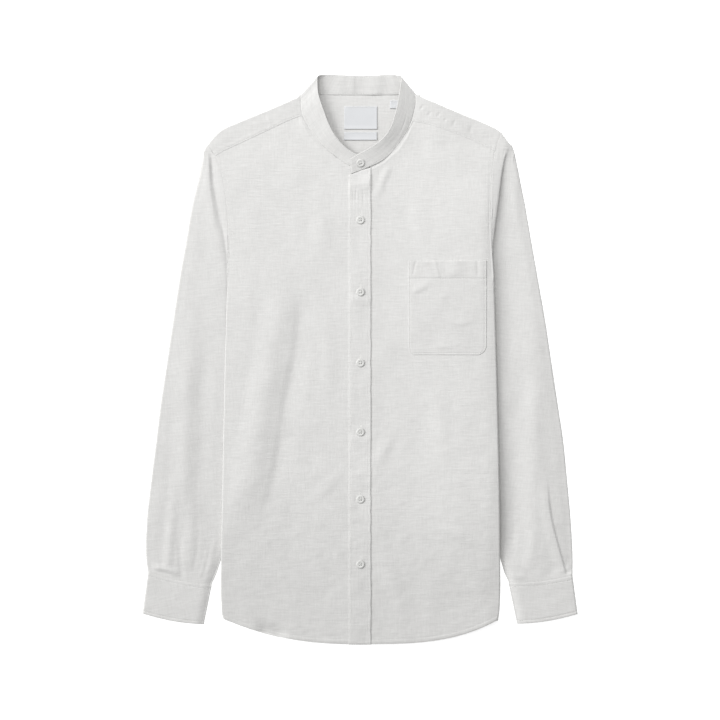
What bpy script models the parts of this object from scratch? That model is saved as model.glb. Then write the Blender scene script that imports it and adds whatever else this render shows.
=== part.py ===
"""A linen shirt with a mandarin collar, laid flat on a surface with its front up.

Metres, +Z up. The origin is on the surface below the middle of the shirt. X runs to the sleeve of the
wearer's left arm, Y to the collar, and Z out of the front. The tables below are in millimetres, and a
distance "out" is measured from the line X = 0 to either side. Every piece of cloth is an open surface, made
from rings or sections, with a Solidify modifier for its thickness.
"""

import math
from collections import namedtuple

import bmesh
import bpy
from mathutils import Vector

MM = 0.001

# The cloth's walls, the gaps at the seams, and how far what lies on a panel is above it.
WALL = 1.1
SLEEVE_WALL = 1.0
CUFF_WALL = 1.2
BAND_WALL = 1.2
SEAM = 0.4
HEAD_SEAM = 0.7
LIE = 0.35
POCKET_LIE = 0.65

# Heights of the outer surfaces above the floor. A sleeve is thinner where its inner edge is tucked under the
# body, and the body's back and front rise there over it.
BODY_TOP = 5.9
SLEEVE_TOP = 5.8
CUFF_TOP = 5.2
TUCKED_TOP = 3.2
CLEAR_TOP = 4.6
LIFT = 3.6
LIFT_ZONE = (17.0, 20.0)
MARGIN_RISE = 2.9
MARGIN_ZONE = (12.0, 52.0)
UNDERARM_DROP = 1.7
UNDERARM_ZONE = (22.0, 40.0)

# How far in from its edge each tube starts to turn under, and how much and how far in it slopes before that.
SIDE_TURN = 4.0
SHOULDER_TURN = 3.6
SLEEVE_TURN = 3.4
UNDERARM_TURN = 2.4
EDGE_DROP = 0.9
EDGE_ZONE = 14.0

# Levels: the body's side begins at the underarm, the sleeve comes out from below it lower down, and a sleeve
# changes its height along its length near its head and above its cuff.
UNDERARM = 115.0
SIDE_FORMED = 84.0
SLEEVE_OUT = -284.0
SIDE_DOWN = -330.0
HEAD_LEVELS = (262.0, 292.0)
CLEAR_LEVELS = (-262.0, -288.0)
CUFF_LEVELS = (-280.0, -300.0)

# The back yoke seam, the back neck, the neck's sides, and where the fronts' armhole seams end.
YOKE_SEAM = 279.0
BACK_NECK = 368.4
NECK_SIDE = 84.6
FRONT_ARMHOLE_TOP = 283.0

# The tops of the armhole seam and of the fold beside it, and what fades the fold's step there.
ARMHOLE_TOP = {-1: 300.4, 1: 317.0}
YOKE_TOP = {-1: 301.0, 1: 318.0}
FOLD_TOP = {-1: 298.2, 1: 299.0}
FOLD_FADE = (4.0, 22.0)

# The front edges under the placket, and the placket.
FRONT_RIGHT_EDGE = -13.8
FRONT_LEFT_EDGE = 14.4
PLACKET = (-14.0, 16.6)
PLACKET_TOP = (257.6, 268.0)

# Hem: the lowest point, and how far and how steeply it climbs to each side.
HEM = -398.6
HEM_HALF_WIDTH = 193.0
HEM_CLIMB = {-1: 38.0, 1: 34.0}
HEM_POWER = {-1: 2.6, 1: 3.0}
BACK_HEM_SHORTER = 2.0

# The chest pocket.
POCKET_X = (67.2, 176.8)
POCKET_Y = (6.0, 137.5)
POCKET_CORNER = 14.0
POCKET_CORNER_LEAN = 0.6

# Buttons. The band's button is placed round the neck and up the band, as fractions.
BUTTON_RADIUS = 5.8
BUTTON_THICKNESS = 2.4
BUTTON_STEPS = 20
BUTTON_X = 1.4
BAND_BUTTON = (0.965, 0.45)
PLACKET_BUTTONS = (194.9, 94.1, -5.0, -101.8, -195.7, -286.6)

Level = namedtuple("Level", "y right left")
At = namedtuple("At", "x right left")
Section = namedtuple("Section", "outer_y inner_y")
Station = namedtuple("Station", "seam_x seam_y seam_z edge_x edge_y edge_z")
Fold = namedtuple("Fold", "x0 y0 x1 y1 half_width height")
Label = namedtuple("Label", "name x y width height")
Turn = namedtuple("Turn", "radius height")

# How far out the body ends: its side edge up to the underarm, then the armhole seam.
BODY_SIDE = (
    Level(-357, 191.9, 194.4),
    Level(-340, 193.9, 195.8),
    Level(-275, 193.9, 196.0),
    Level(-190, 192.8, 195.2),
    Level(-90, 191.0, 193.0),
    Level(20, 188.6, 190.2),
    Level(115, 185.5, 187.0),
    Level(153, 184.1, 184.6),
    Level(188, 184.8, 183.6),
    Level(223, 187.6, 183.6),
    Level(258, 193.2, 184.8),
    Level(280, 200.4, 187.0),
    Level(301, 212.6, 191.8),
    Level(318, 222.0, 198.0),
)

# How far out the fold is where the sleeve's head turns down onto the sleeve.
HEAD_FOLD = (
    Level(115, 187.8, 189.2),
    Level(153, 192.0, 190.4),
    Level(188, 196.5, 191.2),
    Level(223, 202.0, 194.0),
    Level(265, 208.0, 201.0),
    Level(299, 213.6, 210.4),
)

# How far out the sleeve's outer edge is.
SLEEVE_OUTER = (
    Level(-303, 295.4, 296.8),
    Level(-284, 298.2, 296.8),
    Level(-225, 298.2, 294.0),
    Level(-169, 292.6, 289.8),
    Level(-113, 285.6, 284.2),
    Level(-57, 278.6, 275.8),
    Level(-1, 270.2, 267.4),
    Level(55, 261.8, 259.0),
    Level(111, 253.4, 249.2),
    Level(167, 243.6, 239.4),
    Level(223, 233.8, 229.6),
    Level(251, 226.8, 224.0),
    Level(279, 221.2, 218.4),
    Level(293, 218.0, 215.0),
    Level(301, 213.6, 211.6),
)

# How far out the sleeve's inner edge is: beside the body, then below it, then clear of it above the cuff.
SLEEVE_INNER = (
    Level(-316, 209.5, 208.6),
    Level(-306, 204.4, 204.6),
    Level(-290, 198.8, 199.6),
    Level(-272, 192.6, 194.6),
    Level(-250, 187.5, 189.6),
    Level(-215, 183.0, 185.0),
    Level(-150, 180.2, 182.0),
    Level(0, 178.0, 179.5),
    Level(44, 180.0, 182.0),
    Level(66, 184.4, 186.0),
    Level(86, 187.9, 189.4),
    Level(98, 187.8, 189.3),
)

# Levels of the sleeve's sections, at its outer and inner edges, from the head to the cuff.
SLEEVE_SECTIONS = (
    Section(288, 98),
    Section(245, 86),
    Section(200, 66),
    Section(150, 34),
    Section(95, -2),
    Section(40, -42),
    Section(-15, -85),
    Section(-70, -130),
    Section(-122, -172),
    Section(-168, -208),
    Section(-208, -238),
    Section(-240, -262),
    Section(-264, -281),
    Section(-284, -298),
)

# The cuffs' corners: outer and inner ends of the cuff seam and of the free edge, and how far each line bows.
CUFF_SEAM = (
    Level(-298, 295.6, 0.0),
    Level(-316.5, 209.6, 0.0),
    Level(-303, 0.0, 296.8),
    Level(-313, 0.0, 208.0),
)
CUFF_EDGE = (
    Level(-355, 303.4, 0.0),
    Level(-370.4, 220.0, 0.0),
    Level(-355, 0.0, 303.4),
    Level(-369.6, 0.0, 219.4),
)
CUFF_BOW = 3.0

# The top of the fronts: the neck seam from the front edge out, then the front yoke seam.
FRONT_TOP = (
    At(-15, 265.5, 262.0),
    At(0, 266.5, 264.0),
    At(15.4, 269.2, 267.8),
    At(34, 280.0, 277.0),
    At(54, 298.2, 296.6),
    At(66, 313.5, 315.6),
    At(73.5, 324.8, 333.0),
    At(82.6, 340.2, 331.0),
    At(97, 335.0, 328.0),
    At(125, 321.8, 319.0),
    At(155, 307.6, 306.6),
    At(182, 295.0, 294.4),
    At(192, 290.4, 288.5),
    At(202, 284.0, 284.0),
)

# The shoulder line, where the yoke folds from the back to the front.
SHOULDER = (
    At(84, 368.8, 368.8),
    At(109, 357.4, 357.4),
    At(143, 343.0, 343.0),
    At(176, 329.4, 329.4),
    At(190, 323.2, 322.6),
    At(200, 316.0, 315.0),
    At(207, 308.6, 307.4),
    At(213, 300.6, 299.0),
)

# The collar band round the neck, from the end that lies below to the end that lies on top.
COLLAR = (
    Station(4.2, 267.6, 5.35, 2.8, 285.6, 6.6),
    Station(-15.4, 271.2, 5.35, -5.6, 287.4, 6.9),
    Station(-35.0, 284.0, 5.35, -23.8, 300.0, 8.6),
    Station(-58.0, 304.0, 5.35, -39.2, 322.4, 10.6),
    Station(-73.8, 327.6, 5.35, -49.0, 350.4, 12.0),
    Station(-81.4, 345.0, 5.35, -55.4, 371.0, 12.2),
    Station(-82.9, 362.0, 5.1, -57.6, 387.0, 10.6),
    Station(-82.4, 370.0, 3.0, -56.8, 396.0, 6.4),
    Station(-75.6, 370.4, 0.9, -47.6, 397.6, 3.2),
    Station(-42.0, 369.6, 0.65, -28.0, 396.4, 2.6),
    Station(0.0, 369.4, 0.65, 1.4, 394.8, 2.6),
    Station(39.2, 369.6, 0.65, 33.6, 396.8, 2.6),
    Station(70.6, 370.4, 0.9, 50.4, 398.0, 3.2),
    Station(78.6, 370.0, 3.0, 57.2, 394.8, 6.4),
    Station(77.6, 358.0, 5.1, 56.0, 380.4, 10.6),
    Station(72.4, 335.6, 5.35, 50.6, 350.6, 12.2),
    Station(64.2, 316.2, 5.35, 41.3, 322.0, 12.0),
    Station(51.4, 297.4, 5.5, 28.0, 305.6, 11.0),
    Station(33.8, 279.4, 6.0, 11.2, 294.4, 9.8),
    Station(14.4, 269.6, 6.95, -3.5, 286.4, 9.2),
    Station(-13.0, 259.0, 6.95, -13.6, 280.4, 8.8),
)

# The largest folds: a long soft trough in the wearer's right front, and one down each sleeve.
BODY_FOLDS = (
    Fold(-84, 90, -102, 13, 26, -1.3),
    Fold(-102, 13, -120, -57, 26, -1.5),
    Fold(-120, -57, -142, -210, 26, -1.3),
    Fold(60, -60, 96, -250, 30, -0.9),
)
SLEEVE_FOLDS = (
    Fold(-238, 30, -236, -235, 16, -1.5),
    Fold(-268, -200, -258, -292, 7, -1.0),
    Fold(-225, -215, -234, -300, 7, -1.0),
    Fold(240, 20, 246, -220, 18, -1.2),
    Fold(262, -185, 288, -296, 6, -1.2),
)

LABELS = (
    Label("label_main", 1.0, 338.0, 46.0, 32.0),
    Label("label_care", 0.8, 312.4, 46.0, 11.2),
    Label("label_size", 48.4, 356.6, 12.6, 11.2),
)
LABEL_THICKNESS = 0.6

# A button's half section, as fractions of its radius and thickness.
BUTTON_PROFILE = (
    Turn(0.0, 0.62),
    Turn(0.55, 0.62),
    Turn(0.74, 1.0),
    Turn(0.92, 0.92),
    Turn(1.0, 0.5),
    Turn(0.82, 0.0),
    Turn(0.0, 0.0),
)

# How each surface is divided. Panels: fractions across and down, and angles round their turned edges.
FRONT_ACROSS = (0, 0.07, 0.14, 0.21, 0.28, 0.35, 0.40, 0.445, 0.52, 0.61, 0.71, 0.81, 0.90, 0.955, 1)
FRONT_DOWN = (0, 0.02, 0.045, 0.08, 0.12, 0.165, 0.21, 0.25, 0.28, 0.31, 0.35, 0.42, 0.5, 0.58, 0.66)
BACK_DOWN = (0, 0.02, 0.045, 0.08, 0.12, 0.17, 0.22, 0.255, 0.285, 0.31, 0.345, 0.42, 0.5, 0.58, 0.66)
PANEL_FOOT = (0.74, 0.81, 0.86, 0.91, 0.96, 1)
BACK_ACROSS = 7
FRONT_TURN = (60, 30, 0, -24)
BACK_TURN = (-72, -50)
YOKE_UP = (0, 0.25, 0.5, 0.75, 0.9, 1)
YOKE_TURN = (-60, -30, 0, 30, 60, 90)
YOKE_FRONT = (0.4, 1)
NECK_ACROSS = (0, 0.35, 0.7, 0.88, 1)
SHOULDER_ACROSS = (0, 0.10, 0.25, 0.42, 0.58, 0.72, 0.84, 0.93, 1)
POCKET_UP = (0, 0.03, 0.07, 0.13, 0.25, 0.42, 0.6, 0.8, 1)
POCKET_ACROSS = 9
BAND_UP = (0, 0.33, 0.67, 1)
CUFF_DOWN = (0, 0.33, 0.67, 1)

# A tube's ring: angles round its outer and inner edges, and points along its top and its bottom. Its line is
# oblique to the sleeve's edges, so that its turns are longer along it, by up to the most slant.
OUTER_ANGLES = (0, 32, 62)
INNER_ANGLES = (50, 0, -50)
RING_TOPS = 12
RING_BOTTOMS = 8
ARMHOLE_SLANT = 3.0
MOST_SLANT = 8.0

LINEN = (0.76, 0.755, 0.735)
LINEN_ROUGHNESS = 0.92
BUTTON_COLOUR = (0.62, 0.62, 0.60)
BUTTON_ROUGHNESS = 0.35
LABEL_COLOUR = (0.80, 0.81, 0.82)
LABEL_ROUGHNESS = 0.6


def smooth(t):
    t = min(1.0, max(0.0, t))
    return t * t * (3 - 2 * t)


def ramp(value, start, end):
    """0 at the start and 1 at the end, eased."""
    return smooth((value - start) / (end - start))


def mix(a, b, t):
    return a + (b - a) * t


def read(table, place, side):
    """The value of a table's right or left column, along straight lines between its rows."""
    column = "left" if side > 0 else "right"
    if place <= table[0][0]:
        return getattr(table[0], column)
    for low, high in zip(table, table[1:]):
        if place <= high[0]:
            t = (place - low[0]) / (high[0] - low[0])
            return mix(getattr(low, column), getattr(high, column), t)
    return getattr(table[-1], column)


def through(values, t):
    """The value at t (0 to 1) of a smooth curve through evenly spaced values."""
    last = len(values) - 1
    k = min(int(t * last), last - 1)
    f = t * last - k
    a, b = values[k], values[k + 1]
    before = values[max(k - 1, 0)]
    after = values[min(k + 2, last)]
    slope_a = (b - before) / 2
    slope_b = (after - a) / 2
    return (
        a * (1 + 2 * f) * (1 - f) ** 2
        + slope_a * f * (1 - f) ** 2
        + b * f * f * (3 - 2 * f)
        - slope_b * f * f * (1 - f)
    )


def folds(table, x, y):
    """The height that a table of folds adds at a place: soft troughs and ridges that fade at their ends."""
    total = 0.0
    for fold in table:
        dx, dy = fold.x1 - fold.x0, fold.y1 - fold.y0
        length = math.hypot(dx, dy)
        along = ((x - fold.x0) * dx + (y - fold.y0) * dy) / length
        across = abs((x - fold.x0) * dy - (y - fold.y0) * dx) / length
        beyond = max(0.0, -along, along - length)
        distance = math.hypot(across, beyond) / fold.half_width
        if distance < 1:
            total += fold.height * (0.5 + 0.5 * math.cos(math.pi * distance))
    return total


def side_formed(y):
    """0 beside the armhole and 1 where the body's side is a full fold."""
    return ramp(y, UNDERARM, SIDE_FORMED)


def over_sleeve(y):
    """1 where the body's side lies on the sleeve's inner edge, and 0 above and below there."""
    return side_formed(y) * ramp(y, SIDE_DOWN, SLEEVE_OUT)


def near_edge(distance, start, width):
    """1 up to a distance from an edge, easing to 0 over a width."""
    return 1 - smooth((distance - start) / width)


def back_lift(side, x, y):
    """How high the back panel's underside is: on the floor, and on the sleeve's inner edge near the side."""
    return LIFT * over_sleeve(y) * near_edge(read(BODY_SIDE, y, side) - x, *LIFT_ZONE)


def front_height(side, x, y):
    """How high the outer surface of the shirt's front is."""
    inward = read(BODY_SIDE, y, side) - x
    formed = side_formed(y)
    z = BODY_TOP + MARGIN_RISE * over_sleeve(y) * near_edge(inward, *MARGIN_ZONE)
    z -= EDGE_DROP * formed * near_edge(inward, SIDE_TURN, EDGE_ZONE)
    if x > NECK_SIDE - 1:
        z -= EDGE_DROP * near_edge(read(SHOULDER, x, side) - y, SHOULDER_TURN, EDGE_ZONE)
    across, along = UNDERARM_ZONE
    z -= UNDERARM_DROP * ramp(y, UNDERARM + along, UNDERARM) * (1 - formed) * near_edge(inward, 0, across)
    return z + folds(BODY_FOLDS, side * x, y)


def sleeve_height(side, x, y):
    """How high the outer surface of the upper half of a sleeve is."""
    inner = read(HEAD_FOLD if y > UNDERARM else BODY_SIDE, y, side) + 1
    low = mix(TUCKED_TOP, CLEAR_TOP, ramp(y, *CLEAR_LEVELS))
    low = mix(low, SLEEVE_TOP - EDGE_DROP, ramp(y, *HEAD_LEVELS))
    z = mix(low, SLEEVE_TOP, ramp(x, inner, inner + 24))
    z -= EDGE_DROP * near_edge(read(SLEEVE_OUTER, y, side) - x, SLEEVE_TURN, EDGE_ZONE)
    z = mix(z, min(z, CUFF_TOP), ramp(y, *CUFF_LEVELS))
    return z + folds(SLEEVE_FOLDS, side * x, y) * ramp(x, inner + 4, inner + 16)


def add_material(piece, name, colour, roughness):
    material = bpy.data.materials.get(name) or bpy.data.materials.new(name)
    material.use_nodes = True
    shader = material.node_tree.nodes["Principled BSDF"]
    shader.inputs["Base Color"].default_value = (*colour, 1)
    shader.inputs["Roughness"].default_value = roughness
    shader.inputs["Metallic"].default_value = 0
    material.diffuse_color = (*colour, 1)
    piece.data.materials.append(material)


def add_piece(name, faces_mesh, material, colour, roughness):
    piece = bpy.data.objects.new(name, faces_mesh)
    collection.objects.link(piece)
    add_material(piece, material, colour, roughness)
    faces_mesh.shade_smooth()
    faces_mesh.set_sharp_from_angle(angle=math.radians(40))
    return piece


def add_cloth(name, rows, side=1, wall=WALL, offset=-1, closed=False, even=True, extra=()):
    """A cloth piece over rows of points in millimetres; extra holds more patches of rows on the same piece.

    side -1 mirrors the piece to the other side of the shirt, and closed joins each row's ends into a ring.
    """
    mesh = bpy.data.meshes.new(name)
    bm = bmesh.new()
    for patch in (rows, *extra):
        grid = [[bm.verts.new((side * x * MM, y * MM, z * MM)) for x, y, z in row] for row in patch]
        if closed:
            grid = [row + row[:1] for row in grid]
        for low, high in zip(grid, grid[1:]):
            for a, b, c, d in zip(low, low[1:], high[1:], high):
                bm.faces.new((a, b, c, d) if side > 0 else (a, d, c, b))
    bmesh.ops.remove_doubles(bm, verts=bm.verts, dist=0.02 * MM)
    bm.to_mesh(mesh)
    bm.free()
    piece = add_piece(name, mesh, "linen", LINEN, LINEN_ROUGHNESS)
    solid = piece.modifiers.new("thickness", "SOLIDIFY")
    solid.thickness = wall * MM
    solid.offset = offset
    solid.use_even_offset = even


def side_ellipse(side, y):
    """The middle height and half height of the body's side fold, which the front and the back share."""
    x = read(BODY_SIDE, y, side) - SIDE_TURN
    top = front_height(side, x, y)
    bottom = back_lift(side, x, y)
    return (top + bottom) / 2, (top - bottom) / 2


def hem_y(side, x):
    return HEM + HEM_CLIMB[side] * (min(abs(x), HEM_HALF_WIDTH) / HEM_HALF_WIDTH) ** HEM_POWER[side]


def turned(side, y, angle, flat_x, flat_z):
    """A point on the body's side fold at an angle, or flat beside the armhole, where no fold is formed."""
    middle, half = side_ellipse(side, y)
    centre = read(BODY_SIDE, y, side) - SIDE_TURN
    a = math.radians(angle)
    formed = side_formed(y)
    return (
        mix(flat_x, centre + SIDE_TURN * math.cos(a), formed),
        y,
        mix(flat_z, middle + half * math.sin(a), formed),
    )


def front_rows(side):
    edge = FRONT_LEFT_EDGE if side > 0 else FRONT_RIGHT_EDGE
    top_out = read(BODY_SIDE, FRONT_ARMHOLE_TOP, side) - SIDE_TURN
    rows = []
    for v in FRONT_DOWN + PANEL_FOOT:
        row = []
        for u in FRONT_ACROSS:
            top = read(FRONT_TOP, mix(edge, top_out, u), side)
            x = mix(edge, HEM_HALF_WIDTH - SIDE_TURN, u)
            y = mix(top, hem_y(side, x), v)
            x = mix(edge, read(BODY_SIDE, min(y, FRONT_ARMHOLE_TOP), side) - SIDE_TURN, u)
            row.append((x, y, front_height(side, x, y)))
        x, y, z = row[-1]
        for k, angle in enumerate(FRONT_TURN, 1):
            flat_x = x + SIDE_TURN * k / len(FRONT_TURN)
            rise = read(FRONT_TOP, flat_x, side) - read(FRONT_TOP, x, side)
            row.append(turned(side, y + rise * near_edge(v, 0, 0.12), angle, flat_x, z))
        rows.append(row)
    return rows[::-1]


def build_back():
    rows = []
    for v in BACK_DOWN + PANEL_FOOT:
        row = []
        for side in (-1, 1):
            half = []
            for k in range(BACK_ACROSS + 1):
                u = math.sin(k / BACK_ACROSS * math.pi / 2)
                x = mix(0, HEM_HALF_WIDTH - SIDE_TURN, u)
                y = mix(YOKE_SEAM - SEAM, hem_y(side, x) + BACK_HEM_SHORTER, v)
                x = (read(BODY_SIDE, y, side) - SIDE_TURN) * u
                half.append((side * x, y, back_lift(side, x, y)))
            x, y, z = half[-1]
            for k, angle in enumerate(BACK_TURN, 1):
                flat_x = abs(x) + SIDE_TURN * k / len(BACK_TURN)
                turn_x, turn_y, turn_z = turned(side, y, angle, flat_x, z)
                half.append((side * turn_x, turn_y, turn_z))
            row = half[::-1] if side < 0 else row[:-1] + half
        rows.append(row)
    add_cloth("back", rows)


def across_shoulder(side, y, w):
    """How far out a place on the yoke is, a fraction of the way from the neck's side to the armhole seam."""
    return mix(NECK_SIDE, read(BODY_SIDE, y, side), w)


def yoke_back_row(side, v):
    """A row of the yoke's middle, between the neck's side and the middle of the back."""
    row = []
    for u in NECK_ACROSS:
        top = mix(BACK_NECK, read(SHOULDER, NECK_SIDE, side) - SHOULDER_TURN, ramp(u, 0.7, 1))
        row.append((side * NECK_SIDE * u, mix(YOKE_SEAM, top, v), 0.0))
    return row[::-1] if side < 0 else row


def yoke_column(side, w):
    """A line over the shoulder: up the back, round the fold at the shoulder line, and down to the front."""
    x_top = across_shoulder(side, YOKE_TOP[side], w)
    turn_y = read(SHOULDER, x_top, side) - SHOULDER_TURN
    half = front_height(side, x_top, turn_y) / 2
    seam_y = read(SHOULDER, x_top, side)
    for _ in range(4):
        seam_y = read(FRONT_TOP, across_shoulder(side, seam_y, w), side) + SEAM
    line = [(mix(YOKE_SEAM, turn_y, v), 0.0) for v in YOKE_UP]
    for angle in YOKE_TURN:
        a = math.radians(angle)
        line.append((turn_y + SHOULDER_TURN * math.cos(a), half + half * math.sin(a)))
    column = [(side * across_shoulder(side, y, w), y, z) for y, z in line]
    for v in YOKE_FRONT:
        y = mix(turn_y, seam_y, v)
        x = across_shoulder(side, y, w)
        column.append((side * x, y, front_height(side, x, y)))
    return column


def build_yoke():
    """The back part lies on the floor. Beside the neck it folds over the shoulder and runs to the front."""
    patches = []
    for side in (-1, 1):
        patches.append([yoke_back_row(side, v) for v in YOKE_UP[::-1]])
        columns = [yoke_column(side, w) for w in SHOULDER_ACROSS]
        rows = list(zip(*(columns[::-1] if side < 0 else columns)))
        patches.append(rows[::-1])
    add_cloth("yoke", patches[0], extra=patches[1:])


def ring(line, height, turn_outer, turn_inner, slant_outer=1.0, slant_inner=1.0):
    """A flattened tube's section over a line in plan, given as a function of 0 (outer) to 1 (inner).

    The turns are how far in from each edge the tube is rounded, measured square to the edge. A slant is how
    much longer that is along the line.
    """
    length = math.dist(line(0), line(1))
    points = []

    def put(distance, z):
        x, y = line(distance / length)
        points.append((x, y, z))

    outer_half = height(*line(turn_outer * slant_outer / length)) / 2
    inner_half = height(*line(1 - turn_inner / length)) / 2
    turn_outer *= slant_outer
    turn_inner = min(turn_inner, inner_half) * slant_inner
    for angle in OUTER_ANGLES:
        a = math.radians(angle)
        put(turn_outer * (1 - math.cos(a)), outer_half * (1 + math.sin(a)))
    for k in range(RING_TOPS):
        d = mix(turn_outer, length - turn_inner, k / (RING_TOPS - 1))
        put(d, height(*line(d / length)))
    for angle in INNER_ANGLES:
        a = math.radians(angle)
        put(length - turn_inner * (1 - math.cos(a)), inner_half * (1 + math.sin(a)))
    for k in range(RING_BOTTOMS):
        put(mix(length - turn_inner, turn_outer, k / (RING_BOTTOMS - 1)), 0.0)
    for angle in OUTER_ANGLES[:0:-1]:
        a = math.radians(-angle)
        put(turn_outer * (1 - math.cos(a)), outer_half * (1 + math.sin(a)))
    return points


def between(outer, inner, bow=0.0):
    """A line in plan from the outer to the inner point, which bows down by bow in its middle."""

    def line(t):
        return mix(outer[0], inner[0], t), mix(outer[1], inner[1], t) - bow * math.sin(math.pi * t)

    return line


def along_levels(table, side, top, bottom, shift):
    """A line in plan down a table's column, from one level to another, moved outward."""

    def line(t):
        y = mix(top, bottom, t)
        return read(table, y, side) + shift, y

    return line


def cuff_corners(table, side):
    outer, inner = table[:2] if side < 0 else table[2:]
    column = "left" if side > 0 else "right"
    return (getattr(outer, column), outer.y), (getattr(inner, column), inner.y)


def build_sleeve(side, name):
    """Rings round the armhole and its fold, then sections that swing from upright to level at the cuff."""
    fade, fade_width = FOLD_FADE

    def head(x, y):
        return front_height(side, x, max(y, UNDERARM))

    def below(x, y):
        return sleeve_height(side, x, y)

    def crease(x, y):
        formed = smooth((FOLD_TOP[side] - fade - y) / fade_width)
        return mix(head(x, y), below(x, y), formed)

    armhole = along_levels(BODY_SIDE, side, ARMHOLE_TOP[side], UNDERARM, HEAD_SEAM)
    fold = along_levels(HEAD_FOLD, side, FOLD_TOP[side] + 1.4, UNDERARM - 4, -0.4)
    foot = along_levels(HEAD_FOLD, side, FOLD_TOP[side] - 1, UNDERARM - 9, 1.1)
    rings = [
        ring(armhole, head, SHOULDER_TURN, UNDERARM_TURN, 1, ARMHOLE_SLANT),
        ring(fold, head, SHOULDER_TURN, UNDERARM_TURN, 1, ARMHOLE_SLANT),
        ring(foot, crease, SLEEVE_TURN, UNDERARM_TURN, 1, ARMHOLE_SLANT),
    ]
    for section in SLEEVE_SECTIONS:
        outer = (read(SLEEVE_OUTER, section.outer_y, side), section.outer_y)
        inner = (read(SLEEVE_INNER, section.inner_y, side), section.inner_y)
        slant = min(math.dist(outer, inner) / (outer[0] - inner[0]), MOST_SLANT)
        rings.append(ring(between(outer, inner), below, SLEEVE_TURN, SLEEVE_TURN, slant, slant))
    outer, inner = cuff_corners(CUFF_SEAM, side)
    end = between((outer[0], outer[1] + SEAM), (inner[0], inner[1] + SEAM), CUFF_BOW)
    rings.append(ring(end, lambda x, y: CUFF_TOP, SLEEVE_TURN, SLEEVE_TURN))
    add_cloth(name, rings, side=side, wall=SLEEVE_WALL, closed=True, even=False)


def build_cuff(side, name):
    seam = cuff_corners(CUFF_SEAM, side)
    edge = cuff_corners(CUFF_EDGE, side)
    rings = []
    for t in CUFF_DOWN:
        outer = [mix(a, b, t) for a, b in zip(seam[0], edge[0])]
        inner = [mix(a, b, t) for a, b in zip(seam[1], edge[1])]
        line = between(outer, inner, CUFF_BOW)
        rings.append(ring(line, lambda x, y: CUFF_TOP, SLEEVE_TURN, SLEEVE_TURN))
    add_cloth(name, rings, side=side, wall=CUFF_WALL, closed=True)


def build_placket():
    """A flat strip on both fronts' edges, from the collar band's seam to the hem."""
    rows = []
    for down in range(9):
        row = []
        for across in range(5):
            x = mix(*PLACKET, across / 4)
            y = mix(hem_y(1, x), mix(*PLACKET_TOP, across / 4), down / 8)
            row.append((x, y, BODY_TOP + LIE + WALL))
        rows.append(row)
    add_cloth("placket", rows)


def build_pocket():
    """A patch made from the left front's surface, moved out, with rounded lower corners."""
    rows = []
    for v in POCKET_UP:
        y = mix(*POCKET_Y, v)
        short = max(0.0, POCKET_CORNER - (y - POCKET_Y[0]))
        cut = POCKET_CORNER - math.sqrt(POCKET_CORNER**2 - short**2)
        row = []
        for k in range(POCKET_ACROSS + 1):
            x = mix(POCKET_X[0] + POCKET_CORNER_LEAN * cut, POCKET_X[1] - cut, k / POCKET_ACROSS)
            row.append((x, y, front_height(1, x, y) + POCKET_LIE + WALL))
        rows.append(row)
    add_cloth("pocket", rows)


def band_point(t, w):
    """A point in the middle of the band's wall: t runs round the neck, and w from the seam to the edge."""
    values = [through([getattr(station, field) for station in COLLAR], t) for field in Station._fields]
    return Vector(mix(a, b, w) for a, b in zip(values[:3], values[3:]))


def build_collar_band():
    """A strip between the neck seam and the free edge, which stands up in front and lies back behind."""
    columns = 3 * (len(COLLAR) - 1)
    rows = [[band_point(k / columns, w) for k in range(columns + 1)] for w in BAND_UP]
    add_cloth("collar_band", rows, wall=BAND_WALL, offset=0)


def build_button(name, place, axis=Vector((0, 0, 1))):
    """A turned button with a raised rim round a dished middle, whose underside is centred on a place."""
    mesh = bpy.data.meshes.new(name)
    bm = bmesh.new()
    points = [
        bm.verts.new((turn.radius * BUTTON_RADIUS * MM, 0, turn.height * BUTTON_THICKNESS * MM))
        for turn in BUTTON_PROFILE
    ]
    for a, b in zip(points, points[1:]):
        bm.edges.new((a, b))
    bm.to_mesh(mesh)
    bm.free()
    button = add_piece(name, mesh, "button", BUTTON_COLOUR, BUTTON_ROUGHNESS)
    lathe = button.modifiers.new("turned", "SCREW")
    lathe.steps = BUTTON_STEPS
    lathe.render_steps = BUTTON_STEPS
    lathe.use_merge_vertices = True
    lathe.merge_threshold = 0.00001
    button.location = Vector(place) * MM
    button.rotation_euler = axis.to_track_quat("Z", "Y").to_euler()


def build_band_button(name):
    t, w = BAND_BUTTON
    place = band_point(t, w)
    along = band_point(t + 0.01, w) - place
    across = band_point(t, w + 0.1) - place
    axis = across.cross(along).normalized()
    build_button(name, place + axis * (BAND_WALL / 2 + LIE), axis)


def build_label(label):
    bpy.ops.mesh.primitive_cube_add(size=1)
    piece = bpy.context.object
    piece.name = label.name
    piece.data.name = label.name
    piece.scale = (label.width * MM, label.height * MM, LABEL_THICKNESS * MM)
    piece.location = (label.x * MM, label.y * MM, (WALL + LIE + LABEL_THICKNESS / 2) * MM)
    for owner in piece.users_collection:
        owner.objects.unlink(piece)
    collection.objects.link(piece)
    add_material(piece, "label", LABEL_COLOUR, LABEL_ROUGHNESS)


for old in list(bpy.data.objects):
    bpy.data.objects.remove(old)
collection = bpy.data.collections.new("mandarin_collar_shirt")
bpy.context.scene.collection.children.link(collection)

build_back()
build_yoke()
add_cloth("front_right", front_rows(-1), side=-1)
add_cloth("front_left", front_rows(1))
build_placket()
build_pocket()
build_sleeve(-1, "sleeve_right")
build_sleeve(1, "sleeve_left")
build_cuff(-1, "cuff_right")
build_cuff(1, "cuff_left")
build_collar_band()
build_band_button("button_1")
for number, button_y in enumerate(PLACKET_BUTTONS, 2):
    build_button(f"button_{number}", (BUTTON_X, button_y, BODY_TOP + 2 * LIE + WALL))
for one in LABELS:
    build_label(one)
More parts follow.
